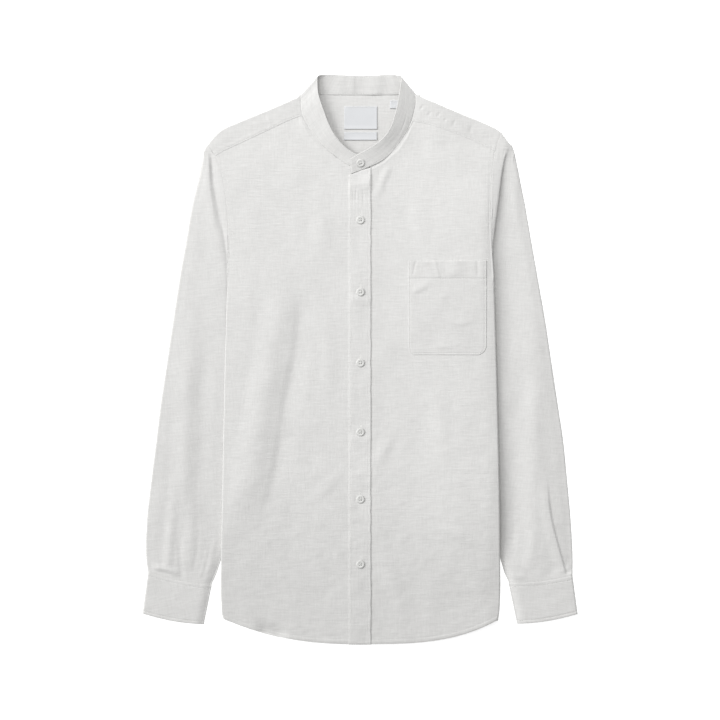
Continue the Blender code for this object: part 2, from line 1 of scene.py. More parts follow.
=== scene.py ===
"""A linen shirt with a mandarin collar, laid flat, front up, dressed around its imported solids.

Tables are in millimetres. A distance "out" is measured from the line X = 0 to either side, side -1 is the
wearer's right (at -X), and side 1 is the wearer's left. Each cloth piece is a thin shell on its solid's form.
"""

import math
from collections import namedtuple

import bmesh
import bpy
import numpy as np
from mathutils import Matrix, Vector


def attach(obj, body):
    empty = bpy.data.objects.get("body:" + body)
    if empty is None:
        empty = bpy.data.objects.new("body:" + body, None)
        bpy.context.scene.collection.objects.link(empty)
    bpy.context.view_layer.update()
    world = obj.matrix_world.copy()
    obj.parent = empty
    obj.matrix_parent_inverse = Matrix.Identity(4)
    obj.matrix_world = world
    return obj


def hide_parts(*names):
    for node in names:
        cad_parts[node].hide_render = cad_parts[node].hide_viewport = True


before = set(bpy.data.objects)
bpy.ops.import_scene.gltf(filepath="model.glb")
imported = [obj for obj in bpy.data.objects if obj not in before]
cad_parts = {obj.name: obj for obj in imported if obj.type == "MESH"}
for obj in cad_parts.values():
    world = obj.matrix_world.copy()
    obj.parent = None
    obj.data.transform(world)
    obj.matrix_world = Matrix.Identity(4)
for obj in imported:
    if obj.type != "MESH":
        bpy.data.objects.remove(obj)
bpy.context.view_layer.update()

MM = 0.001

# The camera looks straight down. The photo's frame is 720 pixels of 1.4 mm across.
VIEW_WIDTH = 1008.0
VIEW_CENTRE_Y = -1.05
CAMERA_HEIGHT = 6000.0
SENSOR = 36.0

# The cloth: the shells' walls, the heights of flat stretches, and how far its folds are rounded.
SHELL = 0.5
YOKE_SHELL = 0.8
BODY_TOP = 5.9
NECK_TOP = 6.0
CUFF_TOP = 5.4
CUFF_FALL = 3.2
CUFF_FALL_ZONE = 14.0
# The back's margin is lifted by the sleeve's inner edge, which lies under it.
LIFT = 3.6
LIFT_ZONE = (17.0, 20.0)
MARGIN_ZONE = {-1: (10.0, 90.0), 1: (10.0, 150.0)}
SIDE_TURN = {-1: 1.6, 1: 2.6}
SHOULDER_TURN = 1.8
SLEEVE_TURN = 2.4
UNDERARM_TURN = 2.4
ROLL_ZONE = {-1: 16.0, 1: 20.0}
SHOULDER_DROP = 0.25
EDGE_ZONE = 12.0
# Places of seams, folds and edges along Y or X, and pairs of places between which one form becomes another.
UNDERARM = 115.0
SIDE_FORMED = 84.0
FOLD_BLEND = (100.0, 125.0)
CAP_FOOT = (160.0, 140.0)
LOWER_BODY = (60.0, -260.0)
LOWER_SLEEVE = (0.0, -260.0)
WRIST = (-235.0, -262.0)
CUFF_SINK = (-255.0, -300.0)
BESIDE_NECK = (80.0, 86.0)
NECK_STEEP = (36.0, 66.0)
SLEEVE_OUT = -284.0
SIDE_DOWN = -330.0
CUFF_LEVELS = (-280.0, -300.0)
YOKE_SEAM = 279.0
BACK_NECK = 369.9
NECK_SIDE = {-1: 81.2, 1: 77.2}
FRONT_ARMHOLE_TOP = 283.0
ARMHOLE_TOP = {-1: 300.4, 1: 317.0}
YOKE_TOP = {-1: 301.0, 1: 318.0}
FOLD_TOP = {-1: 298.2, 1: 299.0}
FRONT_EDGE = {-1: -13.8, 1: 14.4}
FRONT_LAP = 4.6
NECK_LAP = 2.6
FRONT_CORNER = {-1: 80.0, 1: 72.0}
PLACKET = (-16.0, 15.2)
PLACKET_TOP = (257.6, 268.0)
HEM = -398.6
HEM_HALF_WIDTH = 193.0
HEM_CLIMB = {-1: 35.4, 1: 34.0}
HEM_POWER = {-1: 2.38, 1: 3.2}
HEM_DROP = 0.6
HEM_ZONE = 2.2
HEM_STITCH = 6.0
BACK_HEM_SHORTER = 2.0
POCKET_X = (67.2, 176.8)
POCKET_Y = (6.0, 137.5)
POCKET_CORNER = 14.0
POCKET_CORNER_LEAN = 0.6
BUTTON_RADIUS = 5.8
BUTTON_THICKNESS = 1.5
BUTTON_X = 0.7
BUTTON_GAP = 0.15
BAND_BUTTON = (0.965, 0.45)
PLACKET_BUTTONS = (194.9, 94.1, -5.0, -101.8, -195.7, -286.6)

# A value on the wearer's right and left at a place along Y, or along X in FRONT_TOP and SHOULDER.
Level = namedtuple("Level", "place right left")
# A sleeve's section by the places of its ends, and the collar band's by its points on the seam and the edge.
Section = namedtuple("Section", "outer_y inner_y")
Station = namedtuple("Station", "seam_x seam_y seam_z edge_x edge_y edge_z")
Crease = namedtuple("Crease", "height before after fade_in fade_out path")
Label = namedtuple("Label", "name x y width height")


def table(kind, *rows):
    return [kind(*row) for row in rows]


BODY_SIDE = table(
    Level,
    (-366, 190.8, 193.2), (-357, 193.3, 194.6), (-340, 194.5, 195.8), (-275, 194.4, 196.0),
    (-190, 192.8, 195.2), (-90, 191.0, 193.0), (20, 188.6, 190.2), (115, 185.5, 187.0),
    (153, 184.1, 184.6), (188, 184.8, 183.6), (223, 187.6, 183.6), (258, 193.2, 184.8),
    (280, 200.4, 187.0), (301, 212.6, 191.8), (318, 222.0, 198.0),
)
HEAD_FOLD = table(
    Level,
    (104, 186.6, 188.0), (126, 186.6, 186.2), (149, 188.2, 185.3), (170, 191.6, 187.0),
    (189, 196.3, 189.4), (217, 202.9, 193.3), (243, 207.3, 196.5), (265, 209.0, 199.6),
    (286, 210.6, 204.6), (299, 213.4, 210.4),
)
SLEEVE_OUTER = table(
    Level,
    (-303, 297.0, 297.4), (-284, 299.2, 297.6), (-225, 298.8, 294.8), (-169, 292.6, 289.8),
    (-113, 285.6, 284.2), (-57, 278.6, 275.8), (-1, 270.2, 267.4), (55, 261.8, 259.0),
    (111, 253.4, 249.2), (167, 243.6, 239.4), (223, 233.8, 229.6), (251, 226.8, 224.0),
    (279, 221.2, 218.4), (293, 218.0, 215.0), (301, 213.6, 211.6),
)
SLEEVE_INNER = table(
    Level,
    (-316, 207.6, 208.0), (-306, 202.8, 204.2), (-290, 197.6, 199.4), (-272, 191.8, 194.4),
    (-250, 187.5, 189.6), (-215, 183.0, 185.0), (-150, 180.2, 182.0), (0, 178.0, 179.5),
    (44, 179.0, 180.6), (66, 180.0, 181.6), (86, 181.5, 183.0), (98, 182.4, 184.0),
)
# How much the body's margin rises where it lies over the sleeve, and how much it then sinks to its fold.
MARGIN_RISE = table(
    Level,
    (-332, 0.0, 0.0), (-284, 1.4, 3.9), (-20, 1.4, 4.6), (60, 1.2, 5.9), (115, 0.7, 5.9),
    (160, 0.2, 5.4), (220, 0.0, 3.9), (270, 0.0, 1.2), (300, 0.0, 0.0),
)
EDGE_ROLL = table(
    Level,
    (-345, 0.1, 0.5), (-284, 0.2, 1.2), (84, 0.2, 2.1), (125, 0.6, 2.4), (160, 0.7, 2.5),
    (190, 0.4, 2.4), (215, 0.0, 2.3), (250, 0.0, 1.8), (285, 0.0, 0.5), (300, 0.0, 0.0),
)
# Across the sleeve from the body: its height at first, where and over how much width it rises, its height
# then, and how much it falls again to its outer edge. A swell lies close beside the body.
SLEEVE_LOW = table(
    Level,
    (-288, 4.6, 4.6), (-262, 4.2, 1.9), (-170, 5.2, 1.5), (-57, 6.3, 1.4), (84, 6.4, 1.4),
    (150, 6.7, 1.4), (200, 6.8, 1.4), (240, 6.8, 1.9), (268, 6.7, 3.0), (300, 5.6, 4.9),
)
RISE_START = table(
    Level,
    (150, 2.0, 12.0), (200, 2.0, 5.0), (240, 2.0, 3.0),
)
SLEEVE_RISE = table(
    Level,
    (-262, 40.0, 36.0), (-100, 46.0, 44.0), (60, 46.0, 46.0), (150, 34.0, 40.0), (200, 22.0, 28.0),
    (262, 14.0, 24.0),
)
SLEEVE_CREST = table(
    Level,
    (-262, 5.6, 5.2), (-170, 5.4, 5.0), (-57, 5.2, 4.4), (55, 5.2, 3.9), (110, 5.2, 3.4),
    (180, 5.4, 2.9), (240, 5.6, 3.6), (300, 5.8, 5.8),
)
SLEEVE_FALL = table(
    Level,
    (-262, 0.2, 2.4), (-170, 0.2, 2.3), (-57, 0.2, 0.6), (55, 0.0, 0.2), (150, 0.0, 0.5),
    (230, 0.2, 0.8), (290, 0.0, 0.2),
)
SWELL = table(
    Level,
    (-240, 0.0, 0.0), (-180, 0.0, 1.2), (-57, 0.0, 1.5), (20, 0.0, 2.3), (100, 0.0, 2.9),
    (160, 0.0, 2.5), (215, 0.0, 1.5), (250, 0.0, 0.0),
)
SWELL_WIDTH = 22.0
SLEEVE_UNDER = 3.0
THINNEST = 1.1
SLEEVE_SECTIONS = table(
    Section,
    (288, 98), (245, 86), (200, 66), (150, 34), (95, -2), (40, -42), (-15, -85), (-70, -130),
    (-122, -172), (-168, -208), (-208, -238), (-240, -262), (-264, -281), (-284, -298),
)
# Outer and inner ends of the cuff seam and of the free edge.
CUFF_SEAM = {-1: ((297.2, -298.0), (207.6, -316.5)), 1: ((297.4, -303.0), (207.4, -313.0))}
CUFF_EDGE = {-1: ((304.8, -355.8), (218.6, -370.8)), 1: ((304.6, -356.4), (219.4, -370.2))}
CUFF_BOW = 3.0
FRONT_TOP = table(
    Level,
    (-15, 265.5, 262.0), (0, 266.5, 264.0), (15.4, 269.2, 267.8), (34, 280.0, 277.0),
    (54, 298.2, 296.6), (66, 313.5, 315.6), (73.5, 324.8, 333.0), (82.6, 340.2, 331.0),
    (97, 335.0, 328.0), (125, 321.8, 319.0), (155, 307.6, 306.6), (182, 295.0, 294.4),
    (192, 290.4, 288.5), (202, 284.0, 284.0),
)
SHOULDER = table(
    Level,
    (74, 372.6, 372.0), (84, 368.4, 367.9), (109, 357.4, 357.4), (143, 343.0, 343.0),
    (176, 329.4, 329.4), (190, 323.2, 322.6), (200, 316.0, 315.0), (207, 308.6, 307.4),
    (213, 300.6, 299.0),
)
COLLAR = table(
    Station,
    (4.2, 267.6, 5.35, 2.8, 285.6, 6.6),
    (-15.4, 271.2, 5.35, -5.6, 287.4, 6.9),
    (-35.0, 284.0, 5.35, -23.8, 300.0, 8.6),
    (-58.0, 304.0, 5.35, -40.2, 322.4, 10.4),
    (-73.8, 327.6, 5.35, -51.2, 350.4, 11.2),
    (-81.4, 345.0, 5.35, -57.8, 371.0, 10.6),
    (-82.9, 362.0, 5.3, -59.0, 387.0, 9.6),
    (-82.4, 370.0, 4.9, -58.0, 396.4, 8.7),
    (-75.6, 370.4, 1.5, -47.6, 398.4, 3.8),
    (-42.0, 369.6, 0.7, -28.0, 398.2, 2.6),
    (0.0, 369.4, 0.62, 1.4, 396.8, 2.6),
    (39.2, 369.6, 0.62, 33.6, 398.2, 2.6),
    (70.6, 370.4, 0.9, 50.4, 398.0, 3.2),
    (78.6, 370.0, 3.0, 57.2, 394.8, 6.4),
    (77.6, 358.0, 5.1, 56.0, 380.4, 10.6),
    (72.4, 335.6, 5.35, 50.6, 350.6, 12.2),
    (64.2, 316.2, 5.35, 41.3, 322.0, 12.0),
    (51.4, 297.4, 5.3, 28.0, 305.6, 11.0),
    (33.8, 279.4, 5.6, 11.2, 294.4, 9.8),
    (14.4, 269.6, 6.4, -3.5, 286.4, 9.2),
    (-13.0, 259.0, 6.5, -13.6, 280.4, 8.6),
)
LABELS = table(
    Label,
    ("label_main", 1.0, 338.0, 46.0, 32.0),
    ("label_care", 0.8, 312.4, 46.0, 11.2),
    ("label_size", 48.4, 356.6, 12.6, 11.2),
)

# Creases: height is below 0 for a trough, before and after are its flanks' widths towards -X or -Y and
# towards +X or +Y, a fade is the share of its length over which an end dies away, and path is in world X, Y.
BODY_CREASES = table(
    Crease,
    (2.5, 32, 33, 0.25, 0.3, ((-112, 150), (-117, 30), (-136, -62), (-156, -180), (-176, -262))),
    (-1.1, 12, 26, 0.3, 0.3, ((-84, 130), (-86, 30), (-102, -62), (-122, -180), (-146, -256))),
    (0.8, 12, 13, 0.5, 0.5, ((-66, -112), (-40, -86), (-12, -52))),
    (0.9, 12, 14, 0.5, 0.5, ((-72, -202), (-44, -178), (-14, -150))),
    (0.9, 15, 12, 0.5, 0.5, ((50, -88), (36, -122), (18, -160))),
    (1.0, 9, 9, 0.45, 0.5, ((43, 280), (33, 252), (23, 222))),
    (1.2, 14, 13, 0.5, 0.5, ((94, -230), (140, -246), (192, -270))),
    (1.0, 18, 20, 0.5, 0.5, ((24, -252), (44, -306), (66, -362))),
    (-3.6, 4, 20, 0.35, 0.45, ((-150, -376.5), (-127, -383), (-96, -390))),
    (0.7, 20, 18, 0.5, 0.5, ((88, 262), (84, 205), (90, 140))),
    (1.4, 32, 56, 0.3, 0.4, ((106, 430), (109, 330), (112, 236))),
    (0.9, 24, 40, 0.5, 0.5, ((-93, 288), (-88, 262), (-84, 232))),
    (0.8, 22, 20, 0.5, 0.5, ((-64, 262), (-54, 190), (-60, 120))),
    (0.8, 20, 18, 0.5, 0.5, ((122, 0), (112, -90), (128, -180))),
    (0.7, 14, 20, 0.5, 0.5, ((-52, 70), (-44, 0), (-54, -70))),
)
YOKE_CREASES = table(
    Crease,
    (-1.0, 2.4, 2.6, 0.3, 0.4, ((-87.5, 364), (-86, 352), (-83, 338))),
    (-0.9, 2.6, 2.4, 0.4, 0.5, ((88.5, 356), (86, 351.5), (83.6, 347))),
    (-0.7, 2.4, 2.2, 0.4, 0.5, ((99, 347), (96.5, 342.5), (94, 338.5))),
    (-0.8, 2.4, 2.4, 0.4, 0.5, ((113, 347), (110, 342), (107, 337))),
    (-0.5, 2.2, 2.2, 0.4, 0.5, ((121, 338), (118.5, 333.5), (117, 330))),
    (-0.5, 3.0, 3.0, 0.4, 0.5, ((134, 337), (131, 330), (129, 322))),
    (-0.5, 4.0, 4.0, 0.4, 0.5, ((158, 330), (155, 322), (153, 312))),
    (-0.6, 3.0, 3.0, 0.4, 0.5, ((186, 304), (184.5, 296), (184, 284))),
    (0.5, 5.0, 5.0, 0.5, 0.5, ((-130, 344), (-126, 334), (-120, 326))),
    (-0.5, 1.8, 1.6, 0.3, 0.4, ((192, 297), (190, 287), (189, 272))),
    (-0.5, 1.6, 1.8, 0.3, 0.4, ((197.5, 299), (195.5, 288), (193.5, 275))),
    (-0.4, 1.6, 1.6, 0.3, 0.4, ((203, 299), (201, 289), (199, 279))),
    (-0.7, 2.0, 2.2, 0.25, 0.3, ((182, 278), (181.2, 236), (180.8, 206), (181.8, 156))),
    (-0.4, 1.8, 2.0, 0.3, 0.3, ((188.4, 282), (187.6, 252), (186.6, 224), (186.0, 190))),
    (-0.9, 2.2, 2.2, 0.2, 0.4, ((206.5, 302), (209.8, 291), (212.6, 272))),
)
SLEEVE_CREASES = table(
    Crease,
    (1.8, 24, 20, 0.35, 0.3, ((-234, 110), (-241, -28), (-245, -136), (-248, -250))),
    (-0.6, 12, 16, 0.35, 0.3, ((-211, 80), (-216, -28), (-220, -136), (-223, -236))),
    (0.9, 11, 10, 0.6, 0.1, ((-257, -140), (-263, -220), (-270, -300))),
    (0.7, 14, 11, 0.6, 0.3, ((-238, -170), (-237, -240), (-241, -302))),
    (0.5, 6, 7, 0.6, 0.1, ((-196, -216), (-204, -258), (-214, -304))),
    (0.3, 4, 5, 0.7, 0.1, ((-210, -246), (-215, -272), (-224, -306))),
    (-0.4, 5, 6, 0.6, 0.1, ((-225, -226), (-228, -268), (-234, -300))),
    (-0.6, 6, 7, 0.6, 0.0, ((-253, -236), (-252, -270), (-250, -304))),
    (1.9, 4, 9, 0.25, 0.4, ((-294, -291), (-274, -294.5), (-246, -303))),
    (-0.6, 18, 22, 0.4, 0.4, ((222, 40), (226, -60), (222, -150), (217, -230))),
    (0.4, 18, 18, 0.4, 0.4, ((240, 70), (246, -60), (250, -190))),
    (1.3, 17, 1.6, 0.35, 0.0, ((261, -160), (265, -208), (288.6, -304))),
    (0.4, 8, 10, 0.5, 0.4, ((218, -206), (220, -240), (222, -280))),
    (1.1, 5, 9, 0.4, 0.5, ((204, -297), (216, -305), (236, -306))),
    (1.0, 4, 8, 0.5, 0.2, ((262, -300), (280, -298), (298, -291))),
    (0.5, 12, 12, 0.5, 0.2, ((247, -226), (240, -262), (234, -300))),
)


def smooth(t):
    t = np.clip(t, 0.0, 1.0)
    return t * t * (3 - 2 * t)


def ramp(value, start, end):
    return smooth((value - start) / (end - start))


def curl(distance, zone, power=2):
    """1 at an edge, falling to 0 over a zone, ever more gently."""
    return (1 - np.clip(distance / zone, 0, 1)) ** power


def cuff_fall(x, inner_x):
    """How much a cuff sinks towards its inner edge."""
    return CUFF_FALL * curl(x - inner_x, CUFF_FALL_ZONE)


def near_edge(distance, start, width):
    """1 up to a distance from an edge, easing to 0 over a width."""
    return 1 - smooth((distance - start) / width)


def near_line(offset, half, width):
    """1 within a half width of a line, easing to 0 over a width on either side."""
    return near_edge(np.abs(offset), half, width)


def mix(a, b, t):
    return a + (b - a) * t


def spline(xs, ys, x):
    """A smooth curve through the points, held level beyond its ends."""
    xs, ys = np.asarray(xs, float), np.asarray(ys, float)
    x = np.clip(x, xs[0], xs[-1])
    step = np.diff(xs)
    rise = np.diff(ys) / step
    slope = np.empty(len(xs))
    slope[0], slope[-1] = rise[0], rise[-1]
    slope[1:-1] = (rise[:-1] * step[1:] + rise[1:] * step[:-1]) / (step[1:] + step[:-1])
    k = np.clip(np.searchsorted(xs, x, side="right") - 1, 0, len(step) - 1)
    f = (x - xs[k]) / step[k]
    return (
        ys[k] * (1 + 2 * f) * (1 - f) ** 2
        + slope[k] * step[k] * f * (1 - f) ** 2
        + ys[k + 1] * f * f * (3 - 2 * f)
        - slope[k + 1] * step[k] * f * f * (1 - f)
    )


def column(rows, side):
    """A table's places and its values on one side."""
    return [row.place for row in rows], [row.left if side > 0 else row.right for row in rows]


def read(rows, place, side):
    return spline(*column(rows, side), place)


def front_top(side, x):
    """The front's top edge, which has a corner where the neck seam meets the yoke seam."""
    return np.interp(x, *column(FRONT_TOP, side))


# How far past its path a crease runs on where it doesn't fade.
UNFADED_REACH = 99.0


def creases(rows, x, y):
    """The summed heights of creases. An end that doesn't fade runs on past its path."""
    x, y = (np.array(v, float) for v in np.broadcast_arrays(x, y))
    total = np.zeros(x.shape)
    for k, c in enumerate(rows):
        (x0, y0), (x1, y1) = c.path[0], c.path[-1]
        upright = abs(y1 - y0) > abs(x1 - x0)
        along, side = (-y, x) if upright else (x, y)
        steps, centres = np.array([(-py, px) if upright else (px, py) for px, py in c.path], float).T
        length = steps[-1] - steps[0]
        ahead, behind = (0 if fade else UNFADED_REACH for fade in (c.fade_in, c.fade_out))
        middle, reach = centres.mean(), np.ptp(centres) + 2 * (c.before + c.after)
        near = (along > steps[0] - ahead) & (along < steps[-1] + behind) & (np.abs(side - middle) < reach)
        if not near.any():
            continue
        along, side = along[near], side[near]
        t = (along - steps[0]) / length
        across = (side - spline(steps, centres, along)) * length / math.hypot(x1 - x0, y1 - y0)
        window = ramp(t, 0, c.fade_in) if c.fade_in else 1.0
        window = window * (ramp(1 - t, 0, c.fade_out) if c.fade_out else 1.0)
        profile = smooth(1 + np.minimum(across, 0) / c.before) * smooth(1 - np.maximum(across, 0) / c.after)
        total[near] += c.height * window * profile * (1 + 0.3 * noise(along, 40.0 * k, 26, 30, 2))
    return total


LATTICES = [np.random.default_rng(seed).uniform(-1, 1, (64, 64)) for seed in range(6)]


def noise(x, y, size_x, size_y, which=0):
    """Soft random heights between -1 and 1, with features of the given sizes."""
    fx, fy = x / size_x + 17.3, y / size_y + 11.7
    ix, iy = np.floor(fx).astype(int), np.floor(fy).astype(int)
    low, high = (
        mix(LATTICES[which][n % 64, ix % 64], LATTICES[which][n % 64, (ix + 1) % 64], smooth(fx - ix))
        for n in (iy, iy + 1)
    )
    return mix(low, high, smooth(fy - iy))


def side_formed(y):
    return ramp(y, UNDERARM, SIDE_FORMED)


def over_sleeve(y):
    return side_formed(y) * ramp(y, SIDE_DOWN, SLEEVE_OUT)


def back_lift(side, x, y):
    return LIFT * over_sleeve(y) * near_edge(read(BODY_SIDE, y, side) - x, *LIFT_ZONE)


def body_creases(x, y):
    """Creases and softness of the fronts, in world X."""
    z = creases(BODY_CREASES, x, y) + creases(YOKE_CREASES, x, y)
    lower = ramp(y, *LOWER_BODY)
    z = z + 0.55 * noise(x, y, 46, 62, 0) + 0.3 * noise(x, y, 21, 33, 1)
    z = z + 0.2 * lower * noise(x + y, y - x, 17, 34, 5)
    z = z + mix(0.06, 0.21, lower) * noise(x, y, 13, 6.5, 2)
    return z + mix(0.035, 0.09, lower) * noise(x, y, 6, 3.4, 3)


def front_height(side, x, y):
    """The outer surface of the shirt's front, x being how far out."""
    inward = read(BODY_SIDE, y, side) - x
    z = BODY_TOP + read(MARGIN_RISE, y, side) * near_edge(inward, *MARGIN_ZONE[side])
    fold = mix(read(BODY_SIDE, y, side), read(HEAD_FOLD, y, side), ramp(y, *FOLD_BLEND))
    z = z - read(EDGE_ROLL, y, side) * curl(fold - x, ROLL_ZONE[side])
    from_shoulder = read(SHOULDER, x, side) - y
    z = z - SHOULDER_DROP * ramp(x, *BESIDE_NECK) * near_edge(from_shoulder, SHOULDER_TURN, EDGE_ZONE)
    return z + body_creases(side * x, y) * mix(1, 0.4, near_edge(inward, 0, 12))


def sleeve_height(side, x, y):
    """The outer surface of a sleeve's upper half."""
    edge = read(BODY_SIDE, y, side)
    inner = np.where(y > UNDERARM, read(HEAD_FOLD, y, side), edge) + 1
    start = inner + read(RISE_START, y, side)
    end = start + read(SLEEVE_RISE, y, side)
    z = mix(read(SLEEVE_LOW, y, side), read(SLEEVE_CREST, y, side), ramp(x, start, end))
    z = z + read(SWELL, y, side) * curl(x - inner, SWELL_WIDTH)
    outer = np.maximum(read(SLEEVE_OUTER, y, side), end + 4)
    z = z - read(SLEEVE_FALL, y, side) * ramp(x, end - 8, outer)
    z = z - 0.5 * near_edge(read(SLEEVE_OUTER, y, side) - x, SLEEVE_TURN, EDGE_ZONE)
    z = mix(z, np.minimum(z, CUFF_TOP - 0.5), ramp(y, *CUFF_LEVELS))
    z = z - cuff_fall(x, read(SLEEVE_INNER, y, side)) * ramp(y, *CUFF_SINK)
    free = ramp(x, inner + 3, inner + 14)
    world = side * x
    z = z + creases(SLEEVE_CREASES, world, y) * np.maximum(free, ramp(y, *WRIST))
    z = z + (0.4 * noise(world, y, 30, 55, 4) + 0.22 * noise(world, y, 15, 24, 5)) * mix(0.3, 1, free)
    z = np.maximum(z + mix(0.05, 0.1, ramp(y, *LOWER_SLEEVE)) * noise(world, y, 9, 5, 2), THINNEST)
    hidden = ramp(x, edge - 0.2, edge - 2.2) * (y < UNDERARM)
    return mix(z, np.minimum(z, SLEEVE_UNDER), hidden)


def spread(*marks):
    """Places from the first mark to the last, each mark being (place, spacing there)."""
    places, spacings = zip(*marks)
    found = [places[0]]
    while found[-1] < places[-1]:
        found.append(found[-1] + np.interp(found[-1], places, spacings))
    found = np.array(found)
    return places[0] + (found - places[0]) * (places[-1] - places[0]) / (found[-1] - places[0])


def shares(*marks):
    """The same places, from 0, as shares of the last one."""
    found = spread(*marks)
    return found / found[-1]


def joined(x, y, z):
    """Points from their coordinates, brought to one shape."""
    return np.stack(np.broadcast_arrays(x, y, z), axis=-1)


def make_mesh(name, points, faces, uv=None, grain=0.0):
    """A mesh in metres from points in millimetres, with a UV map in metres along and across the grain."""
    mesh = bpy.data.meshes.new(name)
    mesh.from_pydata((points * MM).tolist(), [], faces)
    mesh.update()
    if uv is None:
        c, s = math.cos(grain), math.sin(grain)
        uv = np.stack([points[:, 0] * c - points[:, 1] * s, points[:, 0] * s + points[:, 1] * c], axis=1)
    layer = mesh.uv_layers.new(name="grain")
    corners = np.empty(len(mesh.loops), int)
    mesh.loops.foreach_get("vertex_index", corners)
    layer.data.foreach_set("uv", (uv[corners] * MM).astype(np.float32).ravel())
    mesh.shade_smooth()
    return mesh


def add_object(name, data):
    item = bpy.data.objects.new(name, data)
    bpy.context.scene.collection.objects.link(item)
    return item


def aim(item, direction, axis="Z"):
    """Turns an object's axis to a direction."""
    item.rotation_mode = "QUATERNION"
    item.rotation_quaternion = Vector(direction).to_track_quat(axis, "Y")


def add_piece(name, mesh, material, node=None):
    piece = add_object(name, mesh)
    if not mesh.materials:
        mesh.materials.append(material)
    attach(piece, "root")
    if node:
        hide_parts(node)
    return piece


def grid_faces(rows, columns, start=0, flip=False, closed=False):
    """Quads between rows of points, each row a ring if closed."""
    faces = []
    for r in range(rows - 1):
        for c in range(columns if closed else columns - 1):
            a = start + r * columns + c
            b = start + r * columns + (c + 1) % columns
            quad = (a, b, b + columns, a + columns)
            faces.append(quad[::-1] if flip else quad)
    return faces


def bar_faces(rings, around, start, flip=False):
    """Faces of a bar of rings of points, closed at both ends."""
    first = range(start, start + around)
    last = range(start + (rings - 1) * around, start + rings * around)
    ends = [tuple(first), tuple(last[::-1])] if flip else [tuple(first[::-1]), tuple(last)]
    return grid_faces(rings, around, start, flip, closed=True) + ends


def with_supports(grid):
    """A grid with a row close to its first and last ones, so that the shading of its rim stays there."""
    first, last = mix(grid[0], grid[1], 0.08), mix(grid[-1], grid[-2], 0.08)
    return np.concatenate([grid[:1], first[None], grid[1:-1], last[None], grid[-1:]])


def add_shell(node, grids, side=1, wall=SHELL, closed=False, grain=0.0, material=None):
    """A cloth shell with its outer surface on grids of points, shape (rows, columns, 3)."""
    points, faces, start = [], [], 0
    for grid in grids:
        grid = with_supports(grid)
        if not closed:
            grid = with_supports(grid.transpose(1, 0, 2)).transpose(1, 0, 2)
        rows, columns = grid.shape[:2]
        faces += grid_faces(rows, columns, start, flip=side < 0, closed=closed)
        points.append(grid.reshape(-1, 3))
        start += rows * columns
    name = node + "_cloth"
    mesh = make_mesh(name, np.concatenate(points) * (side, 1, 1), faces, grain=grain)
    if len(grids) > 1:
        bm = bmesh.new()
        bm.from_mesh(mesh)
        bmesh.ops.remove_doubles(bm, verts=bm.verts, dist=0.02 * MM)
        bm.to_mesh(mesh)
        bm.free()
    piece = add_piece(name, mesh, material or linen, node=node)
    solid = piece.modifiers.new("thickness", "SOLIDIFY")
    solid.thickness = wall * MM
    solid.offset = -1
    return piece


def add_slab(name, node, top, bottom, material=None, uv=None):
    """A closed piece between two grids of points of the same shape, the top one facing out."""
    rows, columns = top.shape[:2]
    count = rows * columns
    points = np.concatenate([top.reshape(-1, 3), bottom.reshape(-1, 3)])
    faces = grid_faces(rows, columns) + grid_faces(rows, columns, count, flip=True)
    index = np.arange(count).reshape(rows, columns)
    border = [int(n) for n in (*index[0, :-1], *index[:-1, -1], *index[-1, :0:-1], *index[:0:-1, 0])]
    for a, b in zip(border, border[1:] + border[:1]):
        faces.append((b, a, a + count, b + count))
    if uv is not None:
        uv = np.concatenate([uv.reshape(-1, 2)] * 2)
    return add_piece(name, make_mesh(name, points, faces, uv), material or linen, node)


# A stitch's rings, from end to end: the share of its length and of its size.
STITCH_RINGS = ((0, 0.35), (0.25, 1), (0.75, 1), (1, 0.35))


def stitches(name, lines, length=2.3, gap=0.9, width=0.42, height=0.3):
    """Rows of stitches, each a small rounded bar along a line of points in millimetres."""
    points, faces = [], []
    for line in lines:
        run = np.concatenate([[0], np.cumsum(np.linalg.norm(np.diff(line, axis=0), axis=1))])
        for start in np.arange(gap / 2, run[-1] - length, length + gap):
            ends = start, start + length
            a, b = (np.array([np.interp(end, run, values) for values in line.T]) for end in ends)
            along = (b - a) / np.linalg.norm(b - a)
            across = np.cross((0, 0, 1), along)
            across /= np.linalg.norm(across)
            up = np.cross(along, across)
            faces += bar_faces(len(STITCH_RINGS), 4, len(points), flip=True)
            for t, size in STITCH_RINGS:
                lift = height * (size - 0.6)
                for out, rise in ((-0.5, -0.1), (-0.25, lift), (0.25, lift), (0.5, -0.1)):
                    points.append(mix(a, b, t) + across * width * size * out + up * rise)
    return add_piece(name, make_mesh(name, np.array(points), faces), thread)


def new_material(name, **values):
    material = bpy.data.materials.new(name)
    material.use_nodes = True
    shader = material.node_tree.nodes["Principled BSDF"]
    for socket, value in values.items():
        shader.inputs[socket.replace("_", " ")].default_value = value
    return material, material.node_tree, shader


def add_node(tree, kind, settings=None, **inputs):
    """A node with values or links on its inputs, which are named, or numbered as i0, i1 and so on."""
    node = tree.nodes.new(kind)
    for key, value in (settings or {}).items():
        setattr(node, key, value)
    for key, value in inputs.items():
        socket = node.inputs[int(key[1:]) if key[0] == "i" else key]
        if isinstance(value, bpy.types.NodeSocket):
            tree.links.new(value, socket)
        else:
            socket.default_value = value
    return node


def grain_noise(tree, coordinates, across, along, detail=2.0, offset=0.0):
    """Noise in threads: so many features a metre across and along the grain."""
    shift = (offset, offset, 0)
    place = add_node(tree, "ShaderNodeMapping", Vector=coordinates, Scale=(across, along, 1), Location=shift)
    threads = add_node(tree, "ShaderNodeTexNoise", Vector=place.outputs[0], Scale=1.0, Detail=detail)
    return threads.outputs["Fac"]


